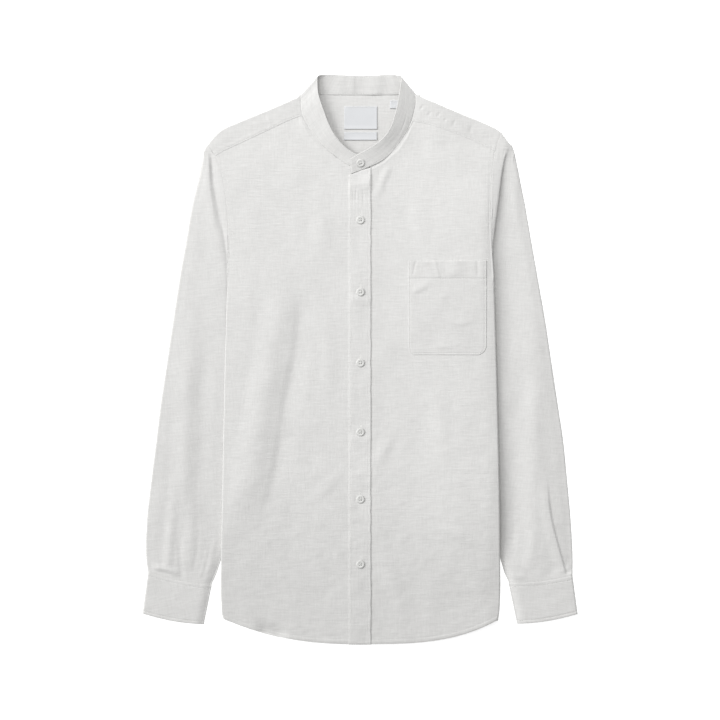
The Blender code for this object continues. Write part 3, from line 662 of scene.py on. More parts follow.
def weighted(tree, *pairs):
    """The sum of sockets, each times a number."""
    total = None
    for socket, weight in pairs:
        inputs = {"i0": socket, "i1": weight}
        if total is not None:
            inputs["i2"] = total
        kind = "MULTIPLY" if total is None else "MULTIPLY_ADD"
        total = add_node(tree, "ShaderNodeMath", {"operation": kind}, **inputs).outputs[0]
    return total


def coloured(tree, factor, dark, light, start=0.0, end=1.0):
    """A colour between two, as a factor goes from start to end."""
    node = add_node(tree, "ShaderNodeValToRGB", Fac=factor)
    for stop, colour, position in zip(node.color_ramp.elements, (dark, light), (start, end)):
        stop.position = position
        stop.color = (*colour, 1)
    return node.outputs[0]


def link_surface(tree, shader, colour, height, strength, distance):
    bump = add_node(tree, "ShaderNodeBump", Height=height, Strength=strength, Distance=distance)
    tree.links.new(colour, shader.inputs["Base Color"])
    tree.links.new(bump.outputs[0], shader.inputs["Normal"])


def make_linen(name, dark, light, weave, painted_shade=None):
    """Plain-woven linen. Painted shade, if given, darkens its colour between two places along Y to a share of
    it, as if less light fell towards the hem.
    """
    material, tree, shader = new_material(
        name, Roughness=0.88, Specular_IOR_Level=0.25, Sheen_Weight=0.12, Sheen_Roughness=0.5
    )
    place = add_node(tree, "ShaderNodeUVMap", {"uv_map": "grain"}).outputs[0]
    weft = grain_noise(tree, place, 90, 850)
    warp = grain_noise(tree, place, 850, 75, offset=3.1)
    slub_weft = grain_noise(tree, place, 50, 400, 1.0, 7.7)
    slub_warp = grain_noise(tree, place, 400, 38, 1.0, 9.2)
    thread_weft = grain_noise(tree, place, 300, 2300, 1.0, 1.3)
    thread_warp = grain_noise(tree, place, 2300, 300, 1.0, 5.9)
    cloudy = grain_noise(tree, place, 34, 30, 3.0, 2.2)
    tint = weighted(tree, (weft, 0.26), (warp, 0.24), (slub_weft, 0.22), (slub_warp, 0.16), (cloudy, 0.12))
    colour = coloured(tree, tint, dark, light, 0.36, 0.64)
    # Painted shade: the colour is multiplied down towards -Y along the grain map, standing in for less light
    # there.
    if painted_shade:
        start, end, grey = painted_shade
        up = add_node(tree, "ShaderNodeSeparateXYZ", Vector=place).outputs[1]
        smoothly = {"interpolation_type": "SMOOTHSTEP"}
        lower = add_node(tree, "ShaderNodeMapRange", smoothly, Value=up, i1=start, i2=end, i3=0.0, i4=1.0)
        multiply = {"data_type": "RGBA", "blend_type": "MULTIPLY"}
        inputs = {"i0": lower.outputs[0], "i6": colour, "i7": (grey, grey, grey, 1)}
        colour = add_node(tree, "ShaderNodeMix", multiply, **inputs).outputs[2]
    crinkle = grain_noise(tree, place, 45, 330, 2.0, 4.4)
    patches = grain_noise(tree, place, 14, 18, 1.0, 6.1)
    crinkled = add_node(tree, "ShaderNodeMath", {"operation": "MULTIPLY"}, i0=crinkle, i1=patches).outputs[0]
    height = weighted(
        tree, (weft, 0.55), (warp, 0.5), (slub_weft, 0.5), (slub_warp, 0.35),
        (thread_weft, 0.3), (thread_warp, 0.3), (cloudy, 0.4), (crinkled, 1.44),
    )
    link_surface(tree, shader, colour, height, weave, 0.0006)
    return material


def make_plain(name, kind, settings, texture, stops, bump, **shading):
    """A material with its colour and its bump from one texture."""
    material, tree, shader = new_material(name, **shading)
    place = add_node(tree, "ShaderNodeTexCoord").outputs["Object"]
    factor = add_node(tree, "ShaderNodeTex" + kind, settings, Vector=place, **texture).outputs["Fac"]
    link_surface(tree, shader, coloured(tree, factor, *stops), factor, *bump)
    return material


linen = make_linen("linen_cloth", (0.607, 0.603, 0.592), (0.701, 0.697, 0.686), 0.5)
# The fronts' and placket's linen is a copy of the linen about 3% lighter, which is painted light, with
# painted shade down to 0.94 of its colour between Y -130 and -360 mm.
body_linen_painted_light = make_linen("linen_body_painted_light", (0.623, 0.619, 0.608), (0.72, 0.716, 0.704), 0.55, (-0.13, -0.36, 0.94))
thread = make_plain(
    "thread", "Noise", {}, {"Scale": 3000.0, "Detail": 1.0},
    ((0.70, 0.70, 0.68), (0.80, 0.80, 0.78)), (0.4, 0.0002), Roughness=0.7, Sheen_Weight=0.1,
)
button_shell = make_plain(
    "button_shell", "Noise", {}, {"Scale": 260.0, "Detail": 3.0},
    ((0.60, 0.60, 0.585), (0.69, 0.69, 0.675), 0.3, 0.7), (0.15, 0.0002),
    Roughness=0.45, Specular_IOR_Level=0.35,
)
tape = make_plain(
    "label_tape", "Wave", {"bands_direction": "Y"}, {"Scale": 420.0, "Distortion": 0.4, "Detail": 1.0},
    ((0.60, 0.61, 0.625), (0.655, 0.665, 0.68)), (0.2, 0.0001), Roughness=0.6, Sheen_Weight=0.1,
)


def hem_y(side, x):
    reach = np.minimum(np.abs(x), HEM_HALF_WIDTH) / HEM_HALF_WIDTH
    return HEM + HEM_CLIMB[side] * reach ** HEM_POWER[side]


def hem_drop(foot):
    """How much the cloth sinks at its hem, foot being the distance from it."""
    return HEM_DROP * near_edge(foot, 0, HEM_ZONE)


def steepness(x):
    """How much farther apart two lines along the neck seam are in Y than square to it."""
    return 1 + 1.4 * ramp(x, *NECK_STEEP)


def turned(side, y, angle, flat_x, flat_z):
    """X and Z of points on the body's side fold at an angle, or flat beside the armhole."""
    x = read(BODY_SIDE, y, side) - SIDE_TURN[side]
    top, bottom = front_height(side, x, y), back_lift(side, x, y)
    middle, half = (top + bottom) / 2, (top - bottom) / 2
    a = math.radians(angle)
    fold_x, fold_z = x + SIDE_TURN[side] * math.cos(a), middle + half * math.sin(a)
    formed = side_formed(y)
    return mix(flat_x, fold_x, formed), mix(flat_z, fold_z, formed)


# Round a side fold, in degrees from level, on the front and then on the back.
SIDE_ANGLES = (78, 66, 54, 42, 30, 18, 6, -8, -24, -42, -60, -75)
BACK_ANGLES = (-84, -80, -76)
# Across a front, from its edge to its side: places with the spacing there, finest at the placket's stitches.
FRONT_SPACING = {
    -1: ((0, 1.9), (170, 1.9), (203, 1.0)),
    1: ((0, 1.6), (34, 1.6), (40, 0.8), (54, 0.8), (60, 1.9), (150, 1.9), (176, 1.0)),
}
# Along the neck seam: the height of the ridge, the depth of the ditch and the ditch's place.
NECK_RIDGE = {-1: (0.3, 0.6, -1.3), 1: (0.12, 0.3, 0.2)}


def build_front(side, node):
    start, corner = FRONT_EDGE[side], FRONT_CORNER[side]
    u = shares(*FRONT_SPACING[side])[None, :]
    v = shares((0, 0.8), (14, 1.0), (40, 2.5), (630, 2.5), (648, 1.0), (664, 0.7))[:, None]
    top_x = mix(start, read(BODY_SIDE, FRONT_ARMHOLE_TOP, side) - SIDE_TURN[side], u)
    lap = mix(NECK_LAP * steepness(top_x), FRONT_LAP, ramp(top_x, corner, corner + 6))
    x = mix(start, HEM_HALF_WIDTH - SIDE_TURN[side], u)
    y = mix(front_top(side, top_x) + lap, hem_y(side, x), v)
    x = mix(start, read(BODY_SIDE, np.minimum(y, FRONT_ARMHOLE_TOP), side) - SIDE_TURN[side], u)
    foot = y - hem_y(side, x)
    z = front_height(side, x, y) - hem_drop(foot)
    z = z + 0.3 * near_edge(foot, 5.0, 1.6) - 0.15 * near_line(foot - HEM_STITCH, 0, 0.9)
    from_top = (front_top(side, x) - y) / steepness(x)
    in_neck = near_edge(x, corner + 1, 4)
    z = mix(z, NECK_TOP, in_neck * near_edge(from_top, 2, 12))
    ridge, ditch, place = NECK_RIDGE[side]
    relief = ridge * near_line(from_top - 3, 0, 2.2) - ditch * near_edge(from_top, place, 1.6)
    z = z + in_neck * relief
    edge_x, edge_y, edge_z = x[:, -1], y[:, -1], z[:, -1]
    dip = mix(0.05, 0.2, ramp(edge_y, 150, 190)) if side < 0 else 0.4
    columns = [joined(x, y, z)]
    for k, angle in enumerate(SIDE_ANGLES, 1):
        t = k / len(SIDE_ANGLES)
        flat_x = edge_x + SIDE_TURN[side] * t
        fold_x, fold_z = turned(side, edge_y, angle, flat_x, edge_z - dip * t**6)
        slope = front_top(side, flat_x) - front_top(side, edge_x)
        fold_y = edge_y + slope * near_edge(v[:, 0], 0, 0.08)
        fold_z = np.maximum(fold_z - hem_drop(foot[:, -1]) * side_formed(edge_y), 0.3)
        columns.append(joined(fold_x, fold_y, fold_z)[:, None])
    return add_shell(node, [np.concatenate(columns, axis=1)[::-1]], side, material=body_linen_painted_light)


def build_back():
    v = shares((0, 5), (300, 8), (640, 8), (673, 2.5))
    u = np.sin(np.linspace(0, 1, 30) * math.pi / 2)[None, :]
    halves = []
    for side in (-1, 1):
        x = (HEM_HALF_WIDTH - SIDE_TURN[side]) * u
        y = mix(YOKE_SEAM - 0.4, hem_y(side, x) + BACK_HEM_SHORTER, v[:, None])
        x = (read(BODY_SIDE, y, side) - SIDE_TURN[side]) * u
        z = back_lift(side, x, y)
        edge_y = y[:, -1]
        parts = [joined(x, y, z)]
        for n, angle in enumerate(BACK_ANGLES, 1):
            fold_x, fold_z = turned(side, edge_y, angle, x[:, -1] + SIDE_TURN[side] * n / 3, z[:, -1])
            parts.append(joined(fold_x, edge_y, fold_z)[:, None])
        half = np.concatenate(parts, axis=1) * (side, 1, 1)
        halves.append(half[:, ::-1] if side < 0 else half[:, 1:])
    return add_shell("back", [np.concatenate(halves, axis=1)])


def beside_band(side, y):
    """How far out the yoke's inner edge is, just under the collar band's foot."""
    rows = sorted((r.seam_y, side * r.seam_x) for r in COLLAR if r.seam_x * side > 60)
    return np.minimum(np.interp(y, *zip(*rows)) - 2.0, NECK_SIDE[side])


def across_shoulder(side, y, w):
    return mix(beside_band(side, y), read(BODY_SIDE, y, side), w)


# How much the yoke's turned edge stands above the front, and how far back from it its stitches are.
YOKE_RISE = {-1: 0.22, 1: 0.14}
YOKE_STITCH = 2.2


def yoke_top_height(side, x, y, beyond):
    """The yoke's outer surface in front, beyond being the distance back from its turned edge."""
    ridge = 0.12 * near_edge(beyond, 4.0, 3.0) - 0.08 * near_line(beyond - YOKE_STITCH, 0.2, 0.9)
    rise = YOKE_RISE[side]
    rounding = rise * curl(beyond, 0.9, 2.2)
    from_band = x - beside_band(side, y)
    under = near_edge(from_band, 1.4, 1.6) * (0.6 if side < 0 else 0.5)
    z = front_height(side, x, y) + rise + ridge - rounding
    return mix(z, NECK_TOP, near_edge(from_band, 3, 9)) - 1.2 * under


def facing_up(grid, side):
    return grid[::-1, ::-1] if side < 0 else grid[::-1]


def build_yoke():
    """The yoke behind the neck and, on each side, from the back seam over the shoulder to the front seam."""
    grids, lines = [], []
    up = shares((0, 5), (70, 5), (84, 1.5))
    w = shares((0, 1.6), (118, 1.6), (130, 0.9))
    front = shares((0, 0.16), (1.0, 0.3), (8, 0.7), (34, 1.4))[::-1]
    at_armhole = 1 - np.minimum(1, (1 - w) * 130 / 3.0) ** 0.6
    for side in (-1, 1):
        neck = NECK_SIDE[side]
        x = spread((0, 4), (neck, 4))
        top = mix(BACK_NECK, read(SHOULDER, neck, side) - SHOULDER_TURN, ramp(x / neck, 0.8, 1))
        grids.append(facing_up(joined(side * x, mix(YOKE_SEAM, top, up[:, None]), 0.0), side))
        x_top = across_shoulder(side, YOKE_TOP[side], w)
        for _ in range(12):
            x_top = across_shoulder(side, read(SHOULDER, x_top, side), w)
        seam_y = read(SHOULDER, x_top, side)
        turn_y = seam_y - SHOULDER_TURN
        for _ in range(6):
            seam_y = front_top(side, across_shoulder(side, seam_y, w)) + 0.2
        half = yoke_top_height(side, x_top, turn_y, turn_y - seam_y) / 2
        rows = [(mix(YOKE_SEAM, turn_y, t), 0 * turn_y) for t in up]
        for a in np.radians(np.linspace(-75, 90, 12)):
            rows.append((turn_y + SHOULDER_TURN * math.cos(a), half + half * math.sin(a)))
        for t in front[1:]:
            y = mix(seam_y, turn_y, t)
            rows.append((y, yoke_top_height(side, across_shoulder(side, y, w), y, (y - seam_y) * 0.93)))
        sunk = (YOKE_RISE[side] + 0.05) * at_armhole
        grid = [joined(side * across_shoulder(side, y, w), y, z - sunk * (z > 2)) for y, z in rows]
        grids.append(facing_up(np.stack(grid), side))
        y = seam_y + 2.4
        x = across_shoulder(side, y, w)
        lines.append(joined(side * x, y, yoke_top_height(side, x, y, YOKE_STITCH) + 0.15)[:-2])
    return add_shell("yoke", grids, wall=YOKE_SHELL), lines


def between(outer, inner, bow=0.0):
    """A line in plan between two points, bowed towards -Y."""

    def line(t):
        return mix(outer[0], inner[0], t), mix(outer[1], inner[1], t) - bow * np.sin(np.pi * t)

    return line


# A ring's points: their angles round a tip in degrees, and how many lie along its top and its bottom.
TIP_ANGLES = np.radians((72, 54, 36, 18, 0, -18, -36, -54, -72))
RING_TOPS = 84
RING_BOTTOMS = 16


def ring(line, height, turn_outer, turn_inner, slant_outer=1.0, slant_inner=1.0):
    """A flattened tube's section over a line in plan from 0 (outer) to 1 (inner)."""
    length = math.dist(line(0.0), line(1.0))

    def at(distance):
        return line(np.clip(distance / length, 0, 1))

    turn_outer = turn_outer * slant_outer
    outer_half = height(*at(turn_outer)) / 2
    inner_half = height(*at(length - turn_inner)) / 2
    turn_inner = min(turn_inner, inner_half) * slant_inner
    upper, lower = TIP_ANGLES[TIP_ANGLES >= 0][::-1], TIP_ANGLES[TIP_ANGLES < 0][::-1]
    tops = mix(turn_outer, length - turn_inner, np.linspace(0, 1, RING_TOPS))
    bottoms = mix(length - turn_inner, turn_outer, np.linspace(0, 1, RING_BOTTOMS))
    stretches = (
        (turn_outer * (1 - np.cos(upper)), outer_half * (1 + np.sin(upper))),
        (tops, height(*at(tops))),
        (length - turn_inner * (1 - np.cos(TIP_ANGLES)), inner_half * (1 + np.sin(TIP_ANGLES))),
        (bottoms, 0 * bottoms),
        (turn_outer * (1 - np.cos(lower)), outer_half * (1 + np.sin(lower))),
    )
    distance, z = (np.concatenate(values) for values in zip(*stretches))
    return joined(*at(distance), z)


# The sleeve's head, from the armhole seam: shares of the way to its fold, then from the fold to section 0.
SEAM_RINGS = ((0, -1.8, 0.55), (0, -0.6, 0.35), (0, 0.05, 0.1), (0, 0.6, 0.0), (0.08, 0.6, 0))
HEAD_SHARES = (0.16, 0.26, 0.36, 0.46, 0.56, 0.65, 0.73, 0.8, 0.86, 0.91, 0.955)
PAST_SHARES = (0.0, 0.045, 0.09, 0.14, 0.19, 0.25, 0.32, 0.4, 0.49, 0.59, 0.7, 0.84)
# How far inside the body's side the sleeve ends at the underarm, which is also that end's rounding.
UNDERARM_TUCK = 2.6
# Past the last section: shares of the way to the cuff, then places along Y from the cuff's seam with how much
# lower the sleeve lies there.
CUFF_SHARES = (0.16, 0.33, 0.5, 0.66, 0.8, 0.92)
CUFF_TUCKS = ((2.0, 0.3), (-3.0, 0.8))
# Where the step between the cap and the sleeve starts and ends, from the fold.
STEP_START = table(
    Level,
    (118, -1.4, -0.6), (150, -1.4, -0.6), (180, -2.2, -0.6), (213, -4.2, -0.6), (247, -3.5, -0.6),
    (272, -2.7, -0.6),
)
STEP_END = table(
    Level,
    (104, 3.0, 0.5), (125, 5.0, 0.5), (150, 8.0, 0.5), (180, 9.6, 0.5), (213, 5.2, 0.5),
    (247, 3.8, 0.5), (272, 2.8, 0.5),
)
SHARP_STEP = (205.0, 178.0)
# How much the cap sinks up to its fold, and over what width.
CAP_DIP = table(
    Level,
    (150, 0.3, 0.2), (180, 0.9, 0.4), (213, 1.4, 0.4), (247, 1.7, 0.3), (272, 1.7, 0.2),
    (286, 0.9, 0.2), (300, 0.0, 0.0),
)
CAP_DIP_WIDTH = table(
    Level,
    (150, 4.0, 3.0), (180, 9.0, 3.0), (213, 16.0, 3.0), (247, 17.0, 3.0), (272, 12.0, 3.0),
    (300, 6.0, 3.0),
)


def head_surface(side, x, y):
    """The sleeve's outer surface about its head, which sinks past the fold beside the armhole."""
    if np.max(y) < UNDERARM - 12:
        return sleeve_height(side, x, y)
    past = x - read(HEAD_FOLD, y, side)
    dip, width = read(CAP_DIP, y, side), read(CAP_DIP_WIDTH, y, side)
    cap = front_height(side, x, np.maximum(y, UNDERARM)) - dip * smooth(1 + past / width)
    start = read(STEP_START, y, side)
    share = np.clip((past - start) / (read(STEP_END, y, side) - start), 0, 1)
    sharp = ramp(y, *SHARP_STEP) * (side < 0)
    step = mix(smooth(share), 1 - (1 - share) ** 2, sharp)
    formed = smooth((FOLD_TOP[side] - 6 - y) / 9)
    z = mix(cap, sleeve_height(side, x, y), mix(ramp(past, -8, 8), step, formed))
    return z - 1.2 * ramp(read(BODY_SIDE, y, side) - x, 0.2, 1.6) * ramp(y, *CAP_FOOT)


def build_sleeve(side, node):
    def surface(x, y):
        return head_surface(side, x, y)

    def add_ring(line, height, outer=SHOULDER_TURN, inner=UNDERARM_TURN, slants=(1, 2)):
        rings.append(ring(line, height, outer, inner, *slants))

    def at_level(rows, y):
        return float(read(rows, y, side)), float(y)

    rings = []
    tucked = float(read(BODY_SIDE, UNDERARM, side)) - UNDERARM_TUCK
    fold_top, fold_foot = FOLD_TOP[side] + 1.4, UNDERARM - 4
    first = [at_level(rows, y) for rows, y in zip((SLEEVE_OUTER, SLEEVE_INNER), SLEEVE_SECTIONS[0])]

    def seam(t):
        y = mix(ARMHOLE_TOP[side], UNDERARM, t)
        return read(BODY_SIDE, y, side), y

    def fold(t):
        y = mix(fold_top, fold_foot, t)
        return mix(tucked, read(HEAD_FOLD, y, side) - 0.4, ramp(y, fold_foot, fold_foot + 24)), y

    def head_line(share, past):
        def line(t):
            (seam_x, seam_y), (fold_x, fold_y) = seam(t), fold(t)
            return mix(seam_x, fold_x, share) + past, mix(seam_y, fold_y, share)

        return line

    def past_line(share):
        outer = float(read(SLEEVE_OUTER, mix(fold_top, first[0][1], share), side))
        short = outer - mix(fold(0.0)[0], first[0][0], share)

        def line(t):
            (fold_x, fold_y), (x, y) = fold(t), between(*first)(t)
            return mix(fold_x, x, share) + short * (1 - t) ** 12, mix(fold_y, y, share)

        return line

    for share, past, sunk in SEAM_RINGS:
        add_ring(head_line(share, past), lambda x, y, s=sunk: surface(x, y) - s)
    for share in HEAD_SHARES:
        add_ring(head_line(share, 0), surface)
    for share in PAST_SHARES:
        add_ring(past_line(share), surface, mix(SHOULDER_TURN, SLEEVE_TURN, share))
    last = len(SLEEVE_SECTIONS) - 1
    places = np.append(spread((0, 0.05), (3, 0.055), (last, 0.05))[:-1], last)
    for outer_y, inner_y in zip(*(spline(range(last + 1), ys, places) for ys in zip(*SLEEVE_SECTIONS))):
        outer, inner = at_level(SLEEVE_OUTER, outer_y), at_level(SLEEVE_INNER, inner_y)
        slant = min(math.dist(outer, inner) / (outer[0] - inner[0]), 8.0)
        add_ring(between(outer, inner), surface, SLEEVE_TURN, SLEEVE_TURN, (slant, slant))
    cuff_outer, cuff_inner = CUFF_SEAM[side]
    for share in CUFF_SHARES:
        pairs = ((outer, cuff_outer), (inner, cuff_inner))
        ends = [(mix(a[0], b[0], share), mix(a[1], b[1] + CUFF_TUCKS[0][0], share)) for a, b in pairs]

        def settle(x, y, t=share):
            return mix(surface(x, y), CUFF_TOP - 0.3 - cuff_fall(x, cuff_inner[0]), ramp(t, 0.55, 1.0))

        add_ring(between(*ends, CUFF_BOW * share), settle, SLEEVE_TURN, SLEEVE_TURN, (1, 1))
    for back, sunk in CUFF_TUCKS:
        ends = [(x, y + back) for x, y in CUFF_SEAM[side]]

        def sunk_end(x, y, s=sunk):
            return CUFF_TOP - s - cuff_fall(x, cuff_inner[0])

        add_ring(between(*ends, CUFF_BOW), sunk_end, SLEEVE_TURN + sunk, SLEEVE_TURN + sunk, (1, 1))
    return add_shell(node, [np.stack(rings)], side, closed=True, grain=side * math.radians(5.5))


# At the cuff's seam and at its free edge: how much the rim is rounded, and its stitches' place and groove.
CUFF_RIMS = ((0.3, 4.6, 0.28), (0.6, 4.4, 0.45))
CUFF_RIM_ZONE = 1.3


def build_cuff(side, node):
    seam, edge = CUFF_SEAM[side], CUFF_EDGE[side]
    depth = math.dist(seam[0], edge[0])

    def ends(distance):
        return [[mix(a, b, distance / depth) for a, b in zip(*pair)] for pair in zip(seam, edge)]

    rings = []
    places = ((0, 0.25), (1.2, 0.5), (7, 0.6), (10, 1.2), (44, 1.2), (47, 0.6), (52, 0.5), (54.5, 0.25))
    for distance in shares(*places) * depth:
        near = min(distance, depth - distance)
        rounding, row, groove = CUFF_RIMS[int(distance >= depth / 2)]
        sunk = rounding * curl(near, CUFF_RIM_ZONE) + groove * curl(abs(near - row), CUFF_RIM_ZONE, 1)
        outer, inner = ends(distance)

        def height(x, y, sunk=sunk, inner_x=inner[0], outer_x=outer[0]):
            falls = cuff_fall(x, inner_x) + 0.4 * curl(outer_x - x, CUFF_FALL_ZONE)
            return CUFF_TOP + 0.35 - sunk - falls + 0.3 * noise(side * x, y, 21, 12, 1)

        rings.append(ring(between(outer, inner, CUFF_BOW), height, SLEEVE_TURN, SLEEVE_TURN))
    tilt = math.atan2(seam[0][1] - seam[1][1], seam[0][0] - seam[1][0])
    cuff = add_shell(node, [np.stack(rings)], side, wall=0.8, closed=True, grain=side * tilt)
    lines = []
    for distance in (CUFF_RIMS[0][1], depth - CUFF_RIMS[1][1]):
        x, y = between(*ends(distance), CUFF_BOW)(np.linspace(0.04, 0.96, 60))
        lines.append(joined(side * x, y, CUFF_TOP + 0.12 + 0.18 * noise(side * x, y, 17, 9, 1)))
    return cuff, lines


def lying_height(x, y):
    """The front surface in world X, on either front."""
    return np.where(x < 0, front_height(-1, np.abs(x), y), front_height(1, np.abs(x), y))


def edge_profile(distance, thickness, rounding=0.9):
    """A turned edge: up from nothing to the thickness over the rounding."""
    return thickness * np.sqrt(1 - curl(distance, rounding))


PLACKET_THICKNESS = 0.4
PLACKET_FLUSH = 0.35
PLACKET_STITCH = 2.6
PLACKET_CREASES = table(
    Crease,
    (1.4, 20, 15, 0.1, 0.2, ((-18, 240), (0, 244), (19, 250))),
    (-0.28, 1.5, 1.3, 0.4, 0.5, ((-9.6, 240), (-9.4, 226), (-10.2, 204))),
    (-0.4, 1.8, 1.4, 0.4, 0.5, ((-5.0, 243), (-5.8, 230), (-5.4, 210))),
    (-0.22, 1.3, 1.6, 0.4, 0.5, ((-1.4, 236), (-0.8, 225), (-1.6, 208))),
    (-0.34, 1.6, 2.2, 0.4, 0.5, ((3.4, 243), (4.6, 224), (4.2, 203))),
    (0.6, 10, 9, 0.2, 0.2, ((-16, 86), (0, 82), (17, 80))),
    (0.6, 12, 9, 0.2, 0.2, ((-16, -110), (0, -114), (17, -112))),
)
# Small puckers round a button: from its centre to their ends, with their heights.
BUTTON_PUCKERS = (
    (-0.4, (-6.6, 5.0), (-6.9, -4.0)),
    (-0.3, (-0.4, 14.0), (0.2, 5.0)),
    (0.25, (-8.5, -7.5), (3.5, -8.5)),
)
PUCKER_CHANGE = (1.0, 1.3, 0.7, 1.1, 0.6, 0.9)


def button_puckers(x, y):
    pulls = []
    for change, centre_y in zip(PUCKER_CHANGE, PLACKET_BUTTONS):
        for height, *ends in BUTTON_PUCKERS:
            start, end = ((BUTTON_X + px, centre_y + py) for px, py in ends)
            middle = (mix(start[0], end[0], 0.5) + 0.2 * change, mix(start[1], end[1], 0.5))
            pulls.append(Crease(height * change, 1.6, 1.4, 0.35, 0.35, (start, middle, end)))
    return creases(pulls, x, y)


def placket_edges(y):
    left = PLACKET[0] + 0.25 * noise(y, 0 * y, 16, 9, 4)
    right = PLACKET[1] + 0.45 * noise(y, 0 * y, 13, 9, 5)
    return left, right


def placket_top(x, y):
    """The placket's surface: flush with the front at its left edge and turned under at its right one."""
    left, right = placket_edges(y)
    near_left, near_right = x - left, right - x
    z = PLACKET_FLUSH * smooth(near_left / 3.8)
    z = z + (PLACKET_THICKNESS - PLACKET_FLUSH) * np.clip(near_left / 30, 0, 1)
    z = z + edge_profile(near_right, PLACKET_THICKNESS) + 0.24 * near_edge(near_right, 0.7, 7.0)
    z = z - 0.18 * near_line(near_right - PLACKET_STITCH - 0.7, 0.15, 1.1)
    z = z + 0.16 * noise(x, y, 9, 14, 2) * ramp(np.minimum(near_left, near_right), 2, 5)
    return lying_height(x, y) + 0.12 + z + creases(PLACKET_CREASES, x, y) + button_puckers(x, y)


def build_placket():
    u = shares((0, 0.4), (4, 0.8), (25, 0.8), (28.4, 0.4), (30.6, 0.18))[None, :]
    v = shares((0, 1.4), (664, 1.8))[:, None]
    y = mix(mix(*PLACKET_TOP, u), hem_y(1, mix(*PLACKET, u)) - 0.4, v)
    x = mix(*placket_edges(y), u)
    drop = hem_drop(y - hem_y(1, x))
    top, bottom = joined(x, y, placket_top(x, y) - drop), joined(x, y, lying_height(x, y) + 0.05 - drop)
    piece = add_slab("placket_cloth", "placket", top[::-1], bottom[::-1], body_linen_painted_light)
    y = np.linspace(262, -392, 400)
    left, right = placket_edges(y)
    lines = [joined(x, y, placket_top(x, y) + 0.1) for x in (left + PLACKET_STITCH, right - PLACKET_STITCH)]
    return piece, lines


POCKET_THICKNESS = 0.5
POCKET_STITCH = 2.0
POCKET_HEM = 113.0
POCKET_CREASES = table(
    Crease,
    (0.95, 17, 18, 0.2, 0.3, ((135, 144), (134, 130), (132, 112))),
    (-0.6, 3.5, 5, 0.2, 0.2, ((163.5, 143), (164, 129), (164.5, 114))),
    (0.5, 6, 2.4, 0.3, 0.1, ((106, 142), (107, 128), (111, 113))),
    (-0.5, 2.2, 2, 0.2, 0.2, ((79.5, 140), (76, 128), (74, 116))),
    (0.9, 7, 11, 0.3, 0.6, ((68, 94), (84, 99), (104, 108))),
    (0.6, 6, 12, 0.5, 0.5, ((112, 54), (137, 50), (172, 57))),
    (0.7, 9, 18, 0.5, 0.5, ((94, 16), (118, 17), (146, 15))),
    (0.5, 16, 12, 0.5, 0.5, ((124, 110), (116, 84), (110, 62))),
)


def pocket_span(y):
    short = np.maximum(0.0, POCKET_CORNER - (y - POCKET_Y[0]))
    cut = POCKET_CORNER - np.sqrt(np.maximum(POCKET_CORNER**2 - short**2, 0))
    return POCKET_X[0] + POCKET_CORNER_LEAN * cut, POCKET_X[1] - cut


def pocket_top(x, y):
    left, right = pocket_span(y)
    from_left, from_right, from_top = x - left, right - x, POCKET_Y[1] - y
    border = np.minimum(np.minimum(from_left, from_right), y - POCKET_Y[0])
    rounding = np.where(from_left < np.minimum(from_right, from_top), 2.4, 0.8)
    z = edge_profile(np.minimum(border, from_top), POCKET_THICKNESS, rounding)
    z = z - 0.28 * near_line(border - POCKET_STITCH - 0.3, 0.2, 1.0)
    z = z - 0.22 * near_line(y - POCKET_HEM, 0.2, 1.3) + 0.25 * near_edge(from_top, 22, 3)
    inside = np.maximum(ramp(border, 2, 12), ramp(y, POCKET_HEM, POCKET_HEM + 3))
    return front_height(1, x, y) + 0.15 + z + creases(POCKET_CREASES, x, y) * inside


def build_pocket():
    u = shares((0, 0.3), (1, 0.5), (4, 1.4), (105, 1.4), (108.6, 0.4), (109.6, 0.2))[None, :]
    y = POCKET_Y[0] + spread((0, 0.2), (1, 0.4), (16, 0.9), (100, 1.3), (112, 0.7), (130, 0.6), (131.5, 0.2))
    y = y[:, None]
    x = mix(*pocket_span(y), u)
    y = y + 0 * x
    top, bottom = joined(x, y, pocket_top(x, y)), joined(x, y, front_height(1, x, y) + 0.1)
    piece = add_slab("pocket_cloth", "pocket", top, bottom)
    angle = np.linspace(0, math.pi / 2, 12)[1:]
    inner = POCKET_CORNER - POCKET_STITCH
    left_x, right_x = POCKET_X[0] + POCKET_STITCH, POCKET_X[1] - POCKET_STITCH
    left_x = np.append(np.full(60, left_x), left_x + POCKET_CORNER_LEAN * inner * (1 - np.cos(angle)))
    right_x = np.append(np.full(60, right_x), right_x - inner * (1 - np.cos(angle)))
    corner_y = POCKET_Y[0] + POCKET_CORNER
    side_y = np.append(np.linspace(136, corner_y, 60), corner_y - inner * np.sin(angle))
    outline = np.append(left_x, right_x[::-1]), np.append(side_y, side_y[::-1])
    hem = np.linspace(POCKET_X[0] + 1, POCKET_X[1] - 1, 60), np.full(60, POCKET_HEM)
    return piece, [joined(lx, ly, pocket_top(lx, ly) + 0.12) for lx, ly in (outline, hem)]


def band_points(t, w):
    """Points in the middle of the band's wall, t round the neck and w from the seam to the free edge."""
    places = np.linspace(0, 1, len(COLLAR))
    values = [spline(places, field, t) for field in zip(*COLLAR)]
    return np.stack([mix(*ends, w) for ends in zip(values[:3], values[3:])], axis=-1)


def band_normals(t, w):
    along = band_points(np.clip(t + 0.002, 0, 1), w) - band_points(np.clip(t - 0.002, 0, 1), w)
    up = band_points(t, w + 0.02) - band_points(t, w - 0.02)
    normal = np.cross(up, along)
    return normal / np.linalg.norm(normal, axis=-1, keepdims=True)


BAND_THICKNESS = 1.3
BAND_LENGTH = 480.0
BAND_DEPTH = 29.0
BAND_STITCHES = (0.09, 0.91)
# In millimetres along and across the band, raised on its inner face.
BAND_CREASES = table(
    Crease,
    (0.7, 12, 8, 0.2, 0.2, ((221, 32), (222, 14), (224, -3))),
    (0.8, 9, 4, 0.2, 0.3, ((231, 32), (233, 14), (234, -3))),
    (1.0, 15, 9, 0.2, 0.2, ((257, 32), (255, 14), (253, -3))),
    (0.7, 12, 10, 0.2, 0.2, ((279, 32), (276, 14), (274, -3))),
)


